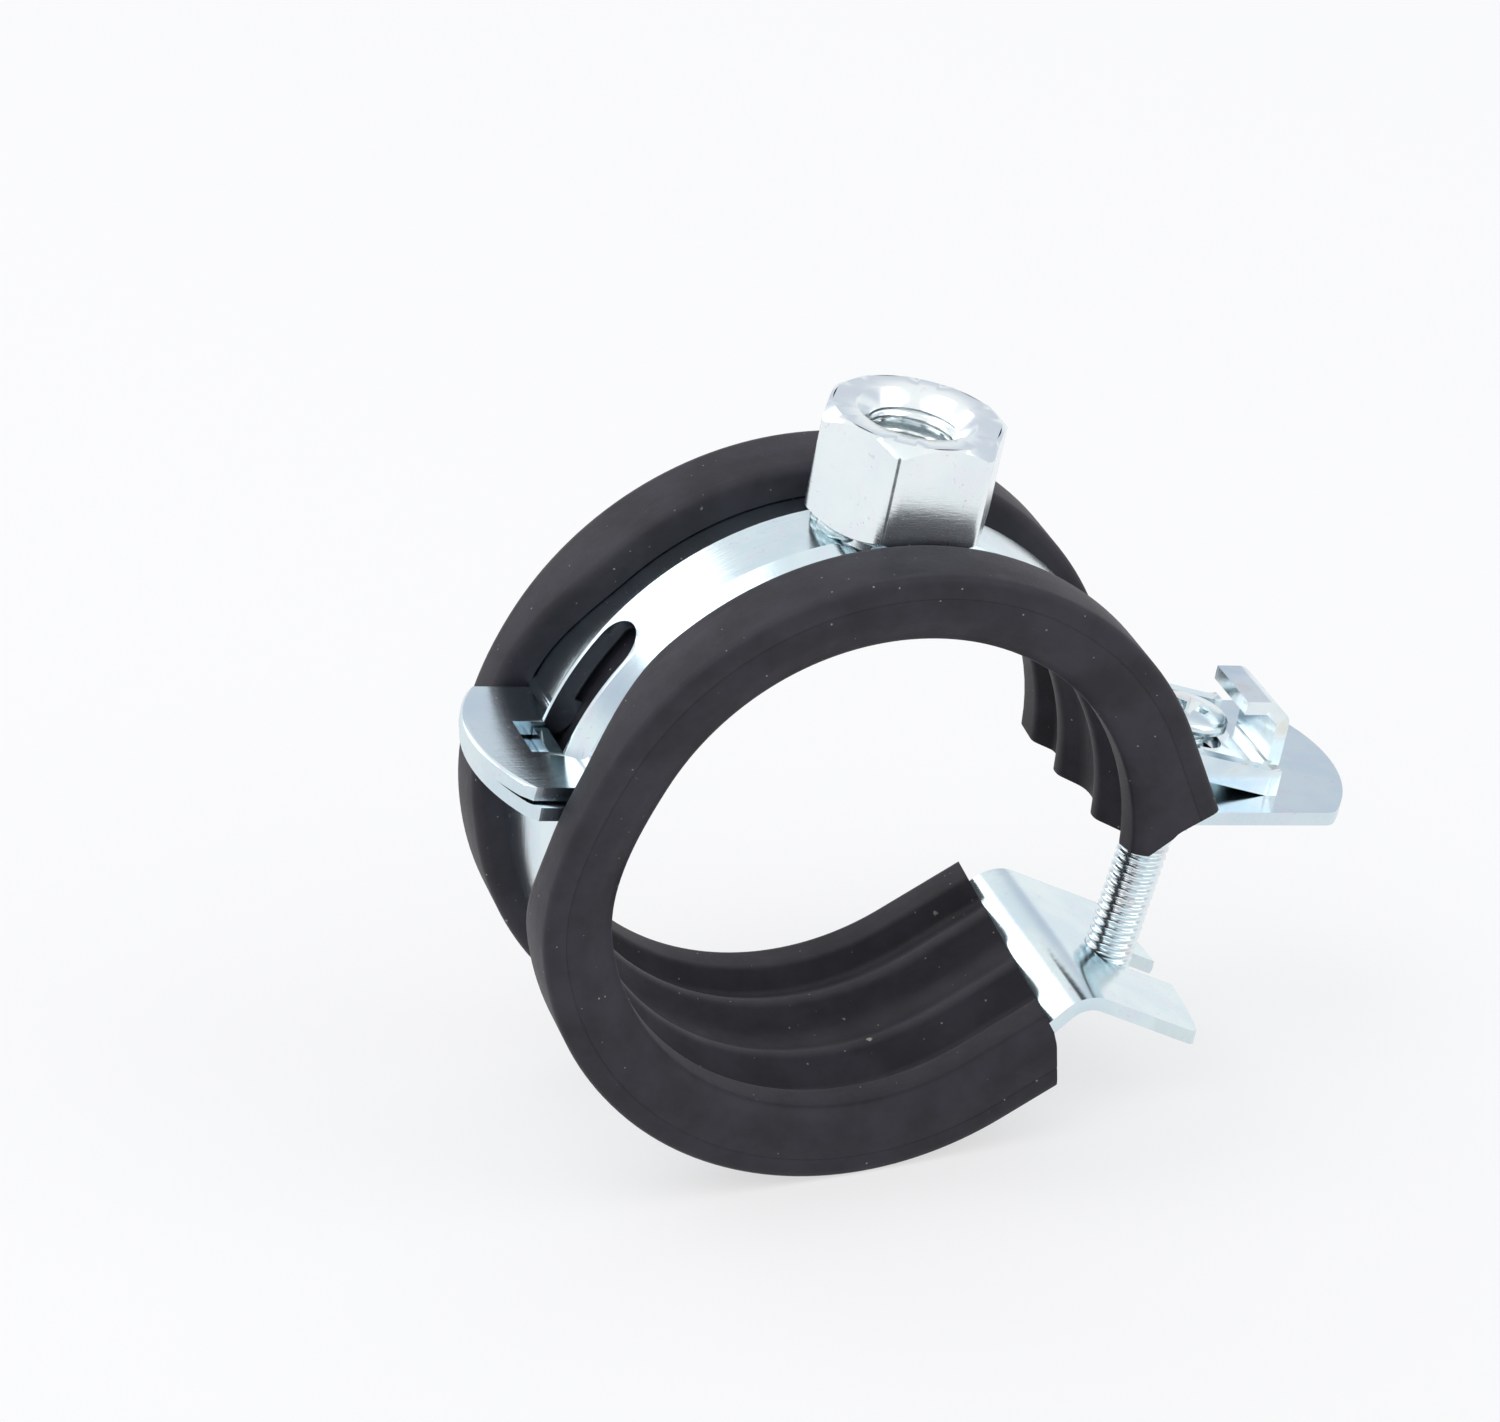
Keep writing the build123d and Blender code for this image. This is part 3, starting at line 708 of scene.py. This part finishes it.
@dataclass
class SheetMetal:
    """The pressed sheet parts of the frame, softened along their edges."""

    weld_mm: float = 0.002
    edge_round_mm: float = 0.14
    edge_deg: float = 32.0

    def soften(self, node: bpy.types.Object) -> None:
        """Rounds a node's sharp edges a little.

        Args:
            node: Node of the frame.
        """
        weld = node.modifiers.new("join_points", "WELD")
        weld.merge_threshold = self.weld_mm * MM
        bevel = node.modifiers.new("eased_edges", "BEVEL")
        bevel.width = self.edge_round_mm * MM
        bevel.segments = 2
        bevel.limit_method = "ANGLE"
        bevel.angle_limit = radians(self.edge_deg)
        bevel.harden_normals = False
        shade = node.modifiers.new("even_shading", "WEIGHTED_NORMAL")
        shade.keep_sharp = True

    def build(self) -> None:
        """Softens and dresses the band halves and the keeper."""
        band = BAND_ZINC.build()
        keeper = KEEPER_ZINC.build()
        for name, material in (
            ("upper_band_half", band),
            ("lower_band_half", band),
            ("locking_keeper", keeper),
        ):
            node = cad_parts[name]
            for face in node.data.polygons:
                face.use_smooth = True
            dress(node, material)
            self.soften(node)
            LOG.info("%s dressed", name)


@dataclass
class RubberLiner:
    """C-shaped ribbed strip round the edges of both halves, in millimetres."""

    rib_r: float = 20.0
    groove_r: float = 21.3
    tread_back_r: float = 21.85
    channel_r: float = 23.05
    lip_r: float = 25.6
    half: float = 12.5
    channel_half: float = 10.05
    lip_inner_y: float = 6.6
    notch_widen: float = 2.05
    notch_deg: tuple[float, float, float, float] = (138.0, 165.0, 176.0, 198.0)
    rib_rows: tuple[float, ...] = (-3.75, 3.75)
    rib_crest_half: float = 0.5
    rib_foot_half: float = 2.8
    rim_crest_y: float = 8.7
    rim_foot_y: float = 7.3
    face_r: float = 22.1
    shoulder_r: float = 20.7
    shoulder_in: float = 0.6
    rim_crest_in: float = 1.3
    face_round: float = 0.25
    crest_round: float = 0.4
    groove_round: float = 1.0
    rim_groove_round: float = 0.6
    rim_round: float = 0.3
    lip_outer_round: float = 0.95
    lip_inner_round: float = 0.8
    lip_edge_round: float = 0.15
    mould_line_r: float = 23.9
    mould_line_half: float = 0.12
    mould_line_depth: float = 0.07
    flare_deg: float = 30.0
    join_deg: tuple[float, float] = (158.0, 196.0)
    lower_deg: float = 306.0
    lower_front: tuple[float, float] = (-1.2, 0.2)
    lower_back: tuple[float, float] = (-0.3, 0.7)
    step_deg: float = 2.0
    end_steps: int = 7
    upper_end_deg: float = 3.0
    upper_rim_extra_deg: float = 2.0
    upper_skew_deg_per_mm: float = 0.12
    upper_run: float = 7.4
    upper_run_per_y: float = 0.053
    upper_run_per_r: float = 0.05
    upper_lean_depth: float = 0.3
    lower_run: float = 6.65
    lower_run_per_y: float = 0.03
    lower_run_per_r: float = 0.42
    hinge: Point = (-24.0, 0.0, 4.5)
    hinge_half: float = 4.5
    hinge_down: Point = (-0.26, 0.0, -0.965)

    def section(self) -> list[tuple[float, float]]:
        """Outline of the strip as (radius, y), from the tread round the lips and back.

        Returns:
            The outline's points.
        """
        edge = self.half
        half_rim = [
            (self.face_r, edge, self.face_round),
            (self.shoulder_r, edge - self.shoulder_in, self.crest_round),
            (self.rib_r, edge - self.rim_crest_in, self.rim_round),
            (self.rib_r, self.rim_crest_y, self.crest_round),
            (self.groove_r, self.rim_foot_y, self.rim_groove_round),
        ]
        ribs = [(radius, -y, turn) for radius, y, turn in half_rim]
        for y in self.rib_rows:
            ribs += [
                (self.groove_r, y - self.rib_foot_half, self.groove_round),
                (self.rib_r, y - self.rib_crest_half, self.crest_round),
                (self.rib_r, y + self.rib_crest_half, self.crest_round),
                (self.groove_r, y + self.rib_foot_half, self.groove_round),
            ]
        ribs += reversed(half_rim)
        line = self.mould_line_r
        half_back = [
            (line - self.mould_line_half, edge, 0.0),
            (line, edge - self.mould_line_depth, 0.0),
            (line + self.mould_line_half, edge, 0.0),
            (self.lip_r, edge, self.lip_outer_round),
            (self.lip_r, self.lip_inner_y, self.lip_inner_round),
            (self.channel_r, self.lip_inner_y, self.lip_edge_round),
            (self.channel_r, self.channel_half, 0.0),
            (self.tread_back_r, self.channel_half, 0.0),
        ]
        back = half_back + [(radius, -y, turn) for radius, y, turn in reversed(half_back)]
        return rounded(ribs + back)

    def centre(self, angle: float, y: float) -> tuple[float, float]:
        """Centre of the strip's circle in a direction, at a place along the pipe.

        Args:
            angle: Direction in degrees.
            y: Place along the pipe.

        Returns:
            The centre as (x, z).
        """
        share = smooth(angle, *self.join_deg)
        along = (y + self.half) / (2 * self.half)
        x = self.lower_front[0] + (self.lower_back[0] - self.lower_front[0]) * along
        z = self.lower_front[1] + (self.lower_back[1] - self.lower_front[1]) * along
        return (x * share, z * share)

    def on_ring(self, radius: float, y: float, angle: float) -> Point:
        """Point of the strip on the ring.

        Args:
            radius: Distance from the ring's centre.
            y: Place along the pipe.
            angle: Direction in degrees.

        Returns:
            The point.
        """
        centre = self.centre(angle, y)
        turn = radians(angle)
        return (centre[0] + radius * cos(turn), y, centre[1] + radius * sin(turn))

    def upper_end(self, radius: float, y: float, share: float) -> Point:
        """Point of the strip between the ring and its cut end beside the upper ear.

        Args:
            radius: Distance of the point from the ring's centre.
            y: Place along the pipe.
            share: 0 at the ring, 1 at the cut.

        Returns:
            The point. The tread keeps to the circle and the lips run straight with the ear.
        """
        rim = smooth(abs(y), 6.0, self.half)
        last = self.upper_end_deg + self.upper_rim_extra_deg * rim - self.upper_skew_deg_per_mm * y
        turn = self.flare_deg + (last - self.flare_deg) * share
        tread = Vector(self.on_ring(radius, y, turn))
        root = Vector(self.on_ring(radius, y, self.flare_deg))
        away = Vector((sin(radians(self.flare_deg)), 0, -cos(radians(self.flare_deg))))
        run = self.upper_run + self.upper_run_per_y * (y + self.half)
        run -= self.upper_run_per_r * (radius - self.tread_back_r)
        lips = root + away * run * share
        lean = smooth(radius, self.groove_r, self.tread_back_r + self.upper_lean_depth)
        point = tread.lerp(lips, lean)
        return (point.x, point.y, point.z)

    def lower_end(self, radius: float, y: float, share: float) -> Point:
        """Point of the strip between the ring and its cut end beside the lower ear.

        Args:
            radius: Distance of the point from the ring's centre.
            y: Place along the pipe.
            share: 0 at the ring, 1 at the cut.

        Returns:
            The point.
        """
        root = Vector(self.on_ring(radius, y, self.lower_deg))
        turn = radians(self.lower_deg + 90)
        away = Vector((cos(turn), 0, sin(turn)))
        run = self.lower_run + self.lower_run_per_y * (y + self.half)
        run -= self.lower_run_per_r * max(radius - self.groove_r, 0.0)
        point = root + away * run * share
        return (point.x, point.y, point.z)

    def notched(self, point: tuple[float, float], angle: float) -> tuple[float, float]:
        """Section point with the lips drawn back where the hinge flanges pass.

        Args:
            point: Point as (radius, y).
            angle: Direction in degrees.

        Returns:
            The moved point.
        """
        radius, y = point
        if radius < self.channel_r - 0.01 or abs(y) > self.channel_half - 0.5:
            return point
        first, full, back, last = self.notch_deg
        widen = self.notch_widen * smooth(angle, first, full) * (1 - smooth(angle, back, last))
        return (radius, y + widen if y > 0 else y - widen)

    def stations(self) -> list[float]:
        """Directions of the rows on the ring."""
        count = round((self.lower_deg - self.flare_deg) / self.step_deg)
        return [self.flare_deg + self.step_deg * index for index in range(count + 1)]

    def build(self) -> bpy.types.Object:
        """Builds and dresses the liner.

        Returns:
            The liner.
        """
        outline = self.section()
        maker = MeshMaker("ribbed_rubber_liner")
        rows = []
        for index in range(self.end_steps, 0, -1):
            share = index / self.end_steps
            rows.append([self.upper_end(r, y, share) for r, y in outline])
        for angle in self.stations():
            points = [self.notched(point, angle) for point in outline]
            rows.append([self.on_ring(r, y, angle) for r, y in points])
        for index in range(1, self.end_steps + 1):
            share = index / self.end_steps
            rows.append([self.lower_end(r, y, share) for r, y in outline])
        maker.loft(rows)
        liner = maker.finish(42.0)
        dress(liner, LINER_RUBBER.build())
        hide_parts("rubber_liner")
        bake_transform(liner)
        LOG.info("liner built with %d rows", len(rows))
        return liner


@dataclass
class ConnectionNut:
    """Hexagonal nut with a real thread, standing on a weld boss, in millimetres."""

    across_flats: float = 13.0
    boss_z: float = 23.4
    base_z: float = 24.4
    top_z: float = 32.9
    boss_r: float = 5.4
    minor_r: float = 3.35
    major_r: float = 4.0
    pitch: float = 1.25
    mouth_r: float = 4.5
    chamfer_r: float = 6.45
    chamfer_deg: float = 44.0
    base_chamfer_r: float = 6.4
    base_chamfer_deg: float = 38.0
    corner_round: float = 0.16
    around: int = 120
    thread_rows: int = 104

    def hex_r(self, turn: float) -> float:
        """Distance of the hexagon's side in a direction, with its corners eased.

        Args:
            turn: Direction in radians.

        Returns:
            The distance.
        """
        corner = self.across_flats / sqrt(3)
        side = self.across_flats / 2 / cos((turn % (pi / 3)) - pi / 6)
        return min(side, corner - self.corner_round)

    def thread_r(self, turn: float, z: float) -> float:
        """Radius of the threaded hole.

        Args:
            turn: Direction in radians.
            z: Level.

        Returns:
            The radius.
        """
        phase = (z / self.pitch - turn / (2 * pi)) % 1.0
        tooth = min(max(abs(phase - 0.5) * 2.6 - 0.25, 0.0), 1.0)
        depth = (self.major_r - self.minor_r) * tooth
        fade = smooth(self.top_z - z, 0.9, 1.9)
        return self.minor_r + depth * fade

    def circle(self, radius: float, z: float) -> list[Point]:
        """Level ring of the piece's own number of points."""
        return level_circle(radius, z, self.around)

    def hexagon(self, inset: float, end_z: float, rim_r: float, slope_deg: float) -> list[Point]:
        """Ring along the hexagon's side where a turned chamfer meets it.

        Args:
            inset: Distance inside the sides.
            end_z: Level of the nut's end.
            rim_r: Radius at which the chamfer starts.
            slope_deg: Slope of the chamfer, positive for the lower end.

        Returns:
            The ring's points.
        """
        points = []
        for turn in turns_round(self.around):
            radius = self.hex_r(turn) - inset
            rise = max(0.0, radius - rim_r) * tan(radians(slope_deg))
            points.append((radius * cos(turn), radius * sin(turn), end_z + rise))
        return points

    def build(self) -> bpy.types.Object:
        """Builds, dresses and hangs the nut.

        Returns:
            The nut.
        """
        maker = MeshMaker("threaded_connection_nut")
        top = self.top_z
        rows = [self.circle(self.minor_r, self.boss_z), self.circle(self.boss_r, self.boss_z)]
        rows.append(self.circle(self.boss_r, self.base_z))
        rows.append(self.circle(self.base_chamfer_r - 0.1, self.base_z))
        for inset in (0.35, 0.0):
            rows.append(
                self.hexagon(inset, self.base_z, self.base_chamfer_r, self.base_chamfer_deg)
            )
        for inset in (0.0, 0.3):
            rows.append(self.hexagon(inset, top, self.chamfer_r, -self.chamfer_deg))
        rows.append(self.circle(self.chamfer_r - 0.15, top))
        rows.append(self.circle(self.mouth_r + 0.15, top))
        rows.append(self.circle(self.mouth_r, top - 0.08))
        depth = self.mouth_r - self.minor_r
        rows.append(self.circle(self.minor_r + depth * 0.35, top - depth * 0.75))
        low = self.boss_z + 0.05
        high = top - depth - 0.1
        turns = turns_round(self.around)
        for index in range(self.thread_rows, -1, -1):
            z = low + (high - low) * index / self.thread_rows
            radii = [self.thread_r(turn, z) for turn in turns]
            rows.append([(r * cos(t), r * sin(t), z) for r, t in zip(radii, turns)])
        maker.ring(rows)
        nut = maker.finish(30.0)
        dress(nut, NUT_ZINC.build())
        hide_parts("connection_nut")
        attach(nut, "upper_half")
        LOG.info("nut built")
        return nut


@dataclass
class WeldBeads:
    """Projection welds that squeeze out between the nut and the bead, in millimetres."""

    level_z: float = 23.45
    ring_r: float = 5.5
    thick: float = 0.75
    rise: float = 0.35
    flatness: float = 0.75
    spans: tuple[tuple[float, float], ...] = ((150.0, 214.0), (-34.0, 30.0), (232.0, 300.0))
    rows: int = 26
    around: int = 12

    def lump(self, angle: float, span: tuple[float, float]) -> float:
        """Thickness of a bead at a direction, lumpy and thin at its ends.

        Args:
            angle: Direction in degrees.
            span: First and last direction of the bead.

        Returns:
            The thickness.
        """
        share = (angle - span[0]) / (span[1] - span[0])
        ends = sqrt(max(0.02, 1 - (2 * share - 1) ** 2))
        ripple = 1 + 0.16 * sin(angle * 0.42) + 0.12 * sin(angle * 0.23 + 1.7)
        return self.thick * ends * ripple

    def build(self) -> None:
        """Builds, dresses and hangs each bead."""
        material = WELD_ZINC.build()
        for number, span in enumerate(self.spans, 1):
            maker = MeshMaker(f"weld_bead_{number}")
            rows = []
            for index in range(self.rows + 1):
                angle = span[0] + (span[1] - span[0]) * index / self.rows
                size = self.lump(angle, span)
                rows.append(self.section(radians(angle), size))
            maker.loft(rows)
            bead = maker.finish(60.0)
            dress(bead, material)
            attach(bead, "upper_half")
            LOG.info("%s built", bead.name)

    def section(self, turn: float, size: float) -> list[Point]:
        """Cross-section ring of a bead.

        Args:
            turn: Direction in radians.
            size: Thickness there.

        Returns:
            The ring's points.
        """
        points = []
        for angle in turns_round(self.around):
            reach = self.ring_r + size * cos(angle)
            z = self.level_z + self.rise + size * self.flatness * sin(angle)
            points.append((reach * cos(turn), reach * sin(turn), z))
        return points


@dataclass
class ClosingScrew:
    """Pan head screw with a cross recess and a real thread, in millimetres."""

    seat: Point = (27.955, 0.0, 7.7)
    lean_deg: float = 5.102
    shank_r: float = 1.95
    root_r: float = 1.66
    pitch: float = 0.7
    shank: float = 25.0
    plain: float = 0.9
    head_r: float = 3.2
    head_height: float = 1.1
    head_rim: float = 0.35
    head_round: float = 0.62
    head_steps: int = 6
    recess_half: float = 1.75
    recess_width: float = 0.95
    recess_depth: float = 0.75
    around: int = 48
    rows_per_pitch: int = 9

    def place(self) -> Matrix:
        """Turns the screw's own axis to its place on the clamp.

        Returns:
            The placing matrix.
        """
        lean = Matrix.Rotation(radians(self.lean_deg), 4, "Y")
        return Matrix.Translation(Vector(self.seat) * MM) @ lean

    def circle(self, radius: float, z: float) -> list[Point]:
        """Level ring of the piece's own number of points."""
        return level_circle(radius, z, self.around)

    def thread(self, z: float) -> list[Point]:
        """Ring of the thread at a level below the head.

        Args:
            z: Level along the screw, 0 under the head.

        Returns:
            The ring's points.
        """
        points = []
        for turn in turns_round(self.around):
            phase = (z / self.pitch - turn / (2 * pi)) % 1.0
            tooth = min(max(1.25 - abs(phase - 0.5) * 2.9, 0.0), 1.0)
            fade = smooth(-z, self.plain * 0.6, self.plain * 1.3)
            tip = smooth(self.shank + z, 0.0, 0.9)
            low = self.root_r - 0.25 * (1 - tip)
            radius = low + (self.shank_r - low) * tooth * (0.25 + 0.75 * tip)
            radius = self.root_r + 0.2 + (radius - self.root_r - 0.2) * fade
            points.append((radius * cos(turn), radius * sin(turn), z))
        return points

    def head_profile(self) -> list[tuple[float, float]]:
        """Half outline of the pan head from its underside to its crown.

        Returns:
            Points as (radius, level).
        """
        profile = [(self.root_r + 0.25, -0.02), (self.head_r - 0.2, 0.0), (self.head_r, 0.14)]
        profile.append((self.head_r, self.head_rim))
        for index in range(1, self.head_steps + 1):
            turn = index / self.head_steps * pi / 2 * 0.9
            drawn_in = self.head_round * (1 - cos(turn))
            level = self.head_rim + self.head_round * sin(turn)
            profile.append((self.head_r - drawn_in, level))
        profile += [(1.7, self.head_height - 0.02), (0.8, self.head_height)]
        return profile

    def recess(self) -> bpy.types.Object:
        """Tapered cross that is cut from the head.

        Returns:
            The cutter.
        """
        maker = MeshMaker("recess_cutter")
        top = self.head_height + 0.3
        low = self.head_height - self.recess_depth
        for quarter in (0, 1):
            rows = []
            for z, share in ((low, 0.42), (top, 1.0)):
                half = self.recess_half * share
                wide = self.recess_width / 2 * (0.75 + 0.25 * share) + quarter * 0.004
                corners = [(-half, -wide), (half, -wide), (half, wide), (-half, wide)]
                if quarter:
                    corners = [(-y, x) for x, y in corners]
                rows.append([(x, y, z + quarter * 0.003) for x, y in corners])
            maker.loft(rows)
        cutter = maker.finish()
        cutter.matrix_world = Matrix.Rotation(radians(45), 4, "Z")
        return cutter

    def build(self) -> bpy.types.Object:
        """Builds, dresses and hangs the screw.

        Returns:
            The screw.
        """
        maker = MeshMaker("pan_head_screw")
        count = round(self.shank / self.pitch * self.rows_per_pitch)
        rows = [self.circle(1.15, -self.shank), self.circle(1.3, -self.shank + 0.01)]
        for index in range(count):
            z = -self.shank + 0.02 + (self.shank - 0.06) * index / (count - 1)
            rows.append(self.thread(z))
        rows += [self.circle(radius, z) for radius, z in self.head_profile()]
        maker.loft(rows)
        screw = maker.finish(50.0)
        cutter = self.recess()
        cut = screw.modifiers.new("recess", "BOOLEAN")
        cut.operation = "DIFFERENCE"
        cut.solver = "EXACT"
        cut.use_self = True
        cut.object = cutter
        bpy.context.view_layer.update()
        graph = bpy.context.evaluated_depsgraph_get()
        cut_mesh = bpy.data.meshes.new_from_object(screw.evaluated_get(graph))
        screw.modifiers.clear()
        screw.data = cut_mesh
        cut_mesh.set_sharp_from_angle(angle=radians(50))
        bpy.data.objects.remove(cutter)
        screw.matrix_world = self.place()
        dress(screw, SCREW_ZINC.build())
        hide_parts("closing_screw")
        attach(screw, "screw")
        LOG.info("screw built")
        return screw


@dataclass
class Studio:
    """Camera, pale floor and soft light."""

    focal_px: float = 6314.6143699
    width_px: float = 1500.0
    height_px: float = 1422.0
    yaw: float = 0.4353966
    elevation: float = 0.4500564
    roll: float = -0.2088781
    shift_mm: tuple[float, float] = (6.127648, -7.109284)
    distance_mm: float = 476.581913
    sensor_mm: float = 36.0
    floor_half: float = 3.0
    floor_drop_mm: float = 0.02
    sky_tint: Colour = (0.94, 0.96, 1.0, 1.0)
    sky_stops: tuple[tuple[float, Colour], ...] = (
        (0.0, (1.0, 1.0, 1.0, 1.0)),
        (0.18, (0.96, 0.98, 1.0, 1.0)),
        (0.34, (0.66, 0.68, 0.76, 1.0)),
        (0.50, (0.70, 0.73, 0.80, 1.0)),
        (0.66, (1.0, 1.0, 1.0, 1.0)),
    )

    def turn(self) -> Matrix:
        """Rotation from the object's axes to the camera's.

        Returns:
            The rotation.
        """
        yaw = Matrix(
            (
                (cos(self.yaw), -sin(self.yaw), 0),
                (sin(self.yaw), cos(self.yaw), 0),
                (0, 0, 1),
            )
        )
        tip = Matrix(
            (
                (1, 0, 0),
                (0, sin(self.elevation), cos(self.elevation)),
                (0, -cos(self.elevation), sin(self.elevation)),
            )
        )
        roll = Matrix(
            (
                (cos(self.roll), -sin(self.roll), 0),
                (sin(self.roll), cos(self.roll), 0),
                (0, 0, 1),
            )
        )
        return roll @ tip @ yaw

    def up(self) -> Vector:
        """Floor's upward direction: the camera stands level above it."""
        level = Vector((0, cos(self.elevation), sin(self.elevation)))
        return (self.turn().transposed() @ level).normalized()

    def camera(self) -> None:
        """Places the camera."""
        turn = self.turn()
        away = Vector((self.shift_mm[0], self.shift_mm[1], -self.distance_mm))
        data = bpy.data.cameras.new("camera")
        data.sensor_fit = "HORIZONTAL"
        data.sensor_width = self.sensor_mm
        data.lens = self.focal_px / self.width_px * self.sensor_mm
        data.clip_start = 0.01
        data.clip_end = 50.0
        made = bpy.data.objects.new("camera", data)
        place = -(turn.transposed() @ away) * MM
        made.matrix_world = Matrix.Translation(place) @ turn.transposed().to_4x4()
        bpy.context.scene.collection.objects.link(made)
        bpy.context.scene.camera = made

    def lowest(self) -> float:
        """Height of the object's lowest point above the origin, along the floor's up.

        Returns:
            The height in metres.
        """
        up = self.up()
        bpy.context.view_layer.update()
        graph = bpy.context.evaluated_depsgraph_get()
        low = []
        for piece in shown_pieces():
            shown = piece.evaluated_get(graph)
            mesh = shown.to_mesh()
            place = piece.matrix_world
            low.append(min((place @ point.co).dot(up) for point in mesh.vertices))
            shown.to_mesh_clear()
        return min(low)

    def floor(self) -> None:
        """Lays the floor under the object's lowest point."""
        up = self.up()
        side = up.orthogonal().normalized()
        front = up.cross(side)
        middle = up * (self.lowest() - self.floor_drop_mm * MM)
        half = self.floor_half
        mesh = bmesh.new()
        corners = [
            mesh.verts.new(middle + side * x + front * y)
            for x, y in ((-half, -half), (half, -half), (half, half), (-half, half))
        ]
        mesh.faces.new(corners)
        data = bpy.data.meshes.new("floor")
        mesh.to_mesh(data)
        mesh.free()
        made = bpy.data.objects.new("floor", data)
        bpy.context.scene.collection.objects.link(made)
        dress(made, PaleFloor().build())
        made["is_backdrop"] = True

    def lamp(
        self, name: str, side: float, front: float, rise: float, size: float, power: float
    ) -> None:
        """Hangs a square soft lamp that faces the object.

        Args:
            name: Name of the lamp.
            side: Metres to the camera's right.
            front: Metres towards the camera.
            rise: Metres above the floor.
            size: Width in metres.
            power: Watts.
        """
        up = self.up()
        right = self.turn().transposed() @ Vector((1, 0, 0))
        toward = right.cross(up)
        place = right * side + toward * front + up * rise
        data = bpy.data.lights.new(name, "AREA")
        data.shape = "SQUARE"
        data.size = size
        data.energy = power
        made = bpy.data.objects.new(name, data)
        facing = place.to_track_quat("Z", "Y").to_matrix().to_4x4()
        made.matrix_world = Matrix.Translation(place) @ facing
        bpy.context.scene.collection.objects.link(made)

    def world(self, light: float) -> None:
        """Sets a sky that is white in view, dimmer as a light and banded in reflections.

        Args:
            light: Strength of the sky as a light.
        """
        world = bpy.data.worlds.new("studio")
        world.use_nodes = True
        world.node_tree.nodes.clear()
        sky = NodeMaker(world.node_tree)
        way = sky.add("ShaderNodeTexCoord", {}, {}, "Generated")
        rise = sky.add(
            "ShaderNodeVectorMath", {"operation": "DOT_PRODUCT"}, {0: way, 1: self.up()}, "Value"
        )
        tone = sky.add("ShaderNodeValToRGB", {"stops": self.sky_stops}, {0: rise})
        seen = sky.add("ShaderNodeLightPath", {}, {}, "Is Camera Ray")
        shiny = sky.add("ShaderNodeLightPath", {}, {}, "Is Glossy Ray")
        plain = sky.add("ShaderNodeBackground", {}, {"Color": self.sky_tint, "Strength": light})
        mirror = sky.add("ShaderNodeBackground", {}, {"Color": tone, "Strength": 1.0})
        white = sky.add("ShaderNodeBackground", {}, {"Strength": 1.0})
        lit = sky.add("ShaderNodeMixShader", {}, {0: shiny, 1: plain, 2: mirror})
        both = sky.add("ShaderNodeMixShader", {}, {0: seen, 1: lit, 2: white})
        out = sky.tree.nodes.new("ShaderNodeOutputWorld")
        sky.tree.links.new(both.socket, out.inputs["Surface"])
        bpy.context.scene.world = world

    def build(self) -> None:
        """Sets up the whole studio."""
        self.camera()
        self.floor()
        self.world(0.7)
        self.lamp("key", -0.5, 0.35, 0.95, 0.9, 3.4)
        self.lamp("fill", 0.75, 0.25, 0.55, 0.7, 1.6)
        self.lamp("rim", -0.8, -0.6, 0.6, 0.7, 1.6)
        bpy.context.scene.view_settings.view_transform = "Standard"
        LOG.info("studio set")


def main() -> None:
    """Builds every piece in order."""
    logging.basicConfig(level=logging.INFO)
    SheetMetal().build()
    RubberLiner().build()
    ConnectionNut().build()
    WeldBeads().build()
    ClosingScrew().build()
    Studio().build()


if __name__ == "__main__":
    main()
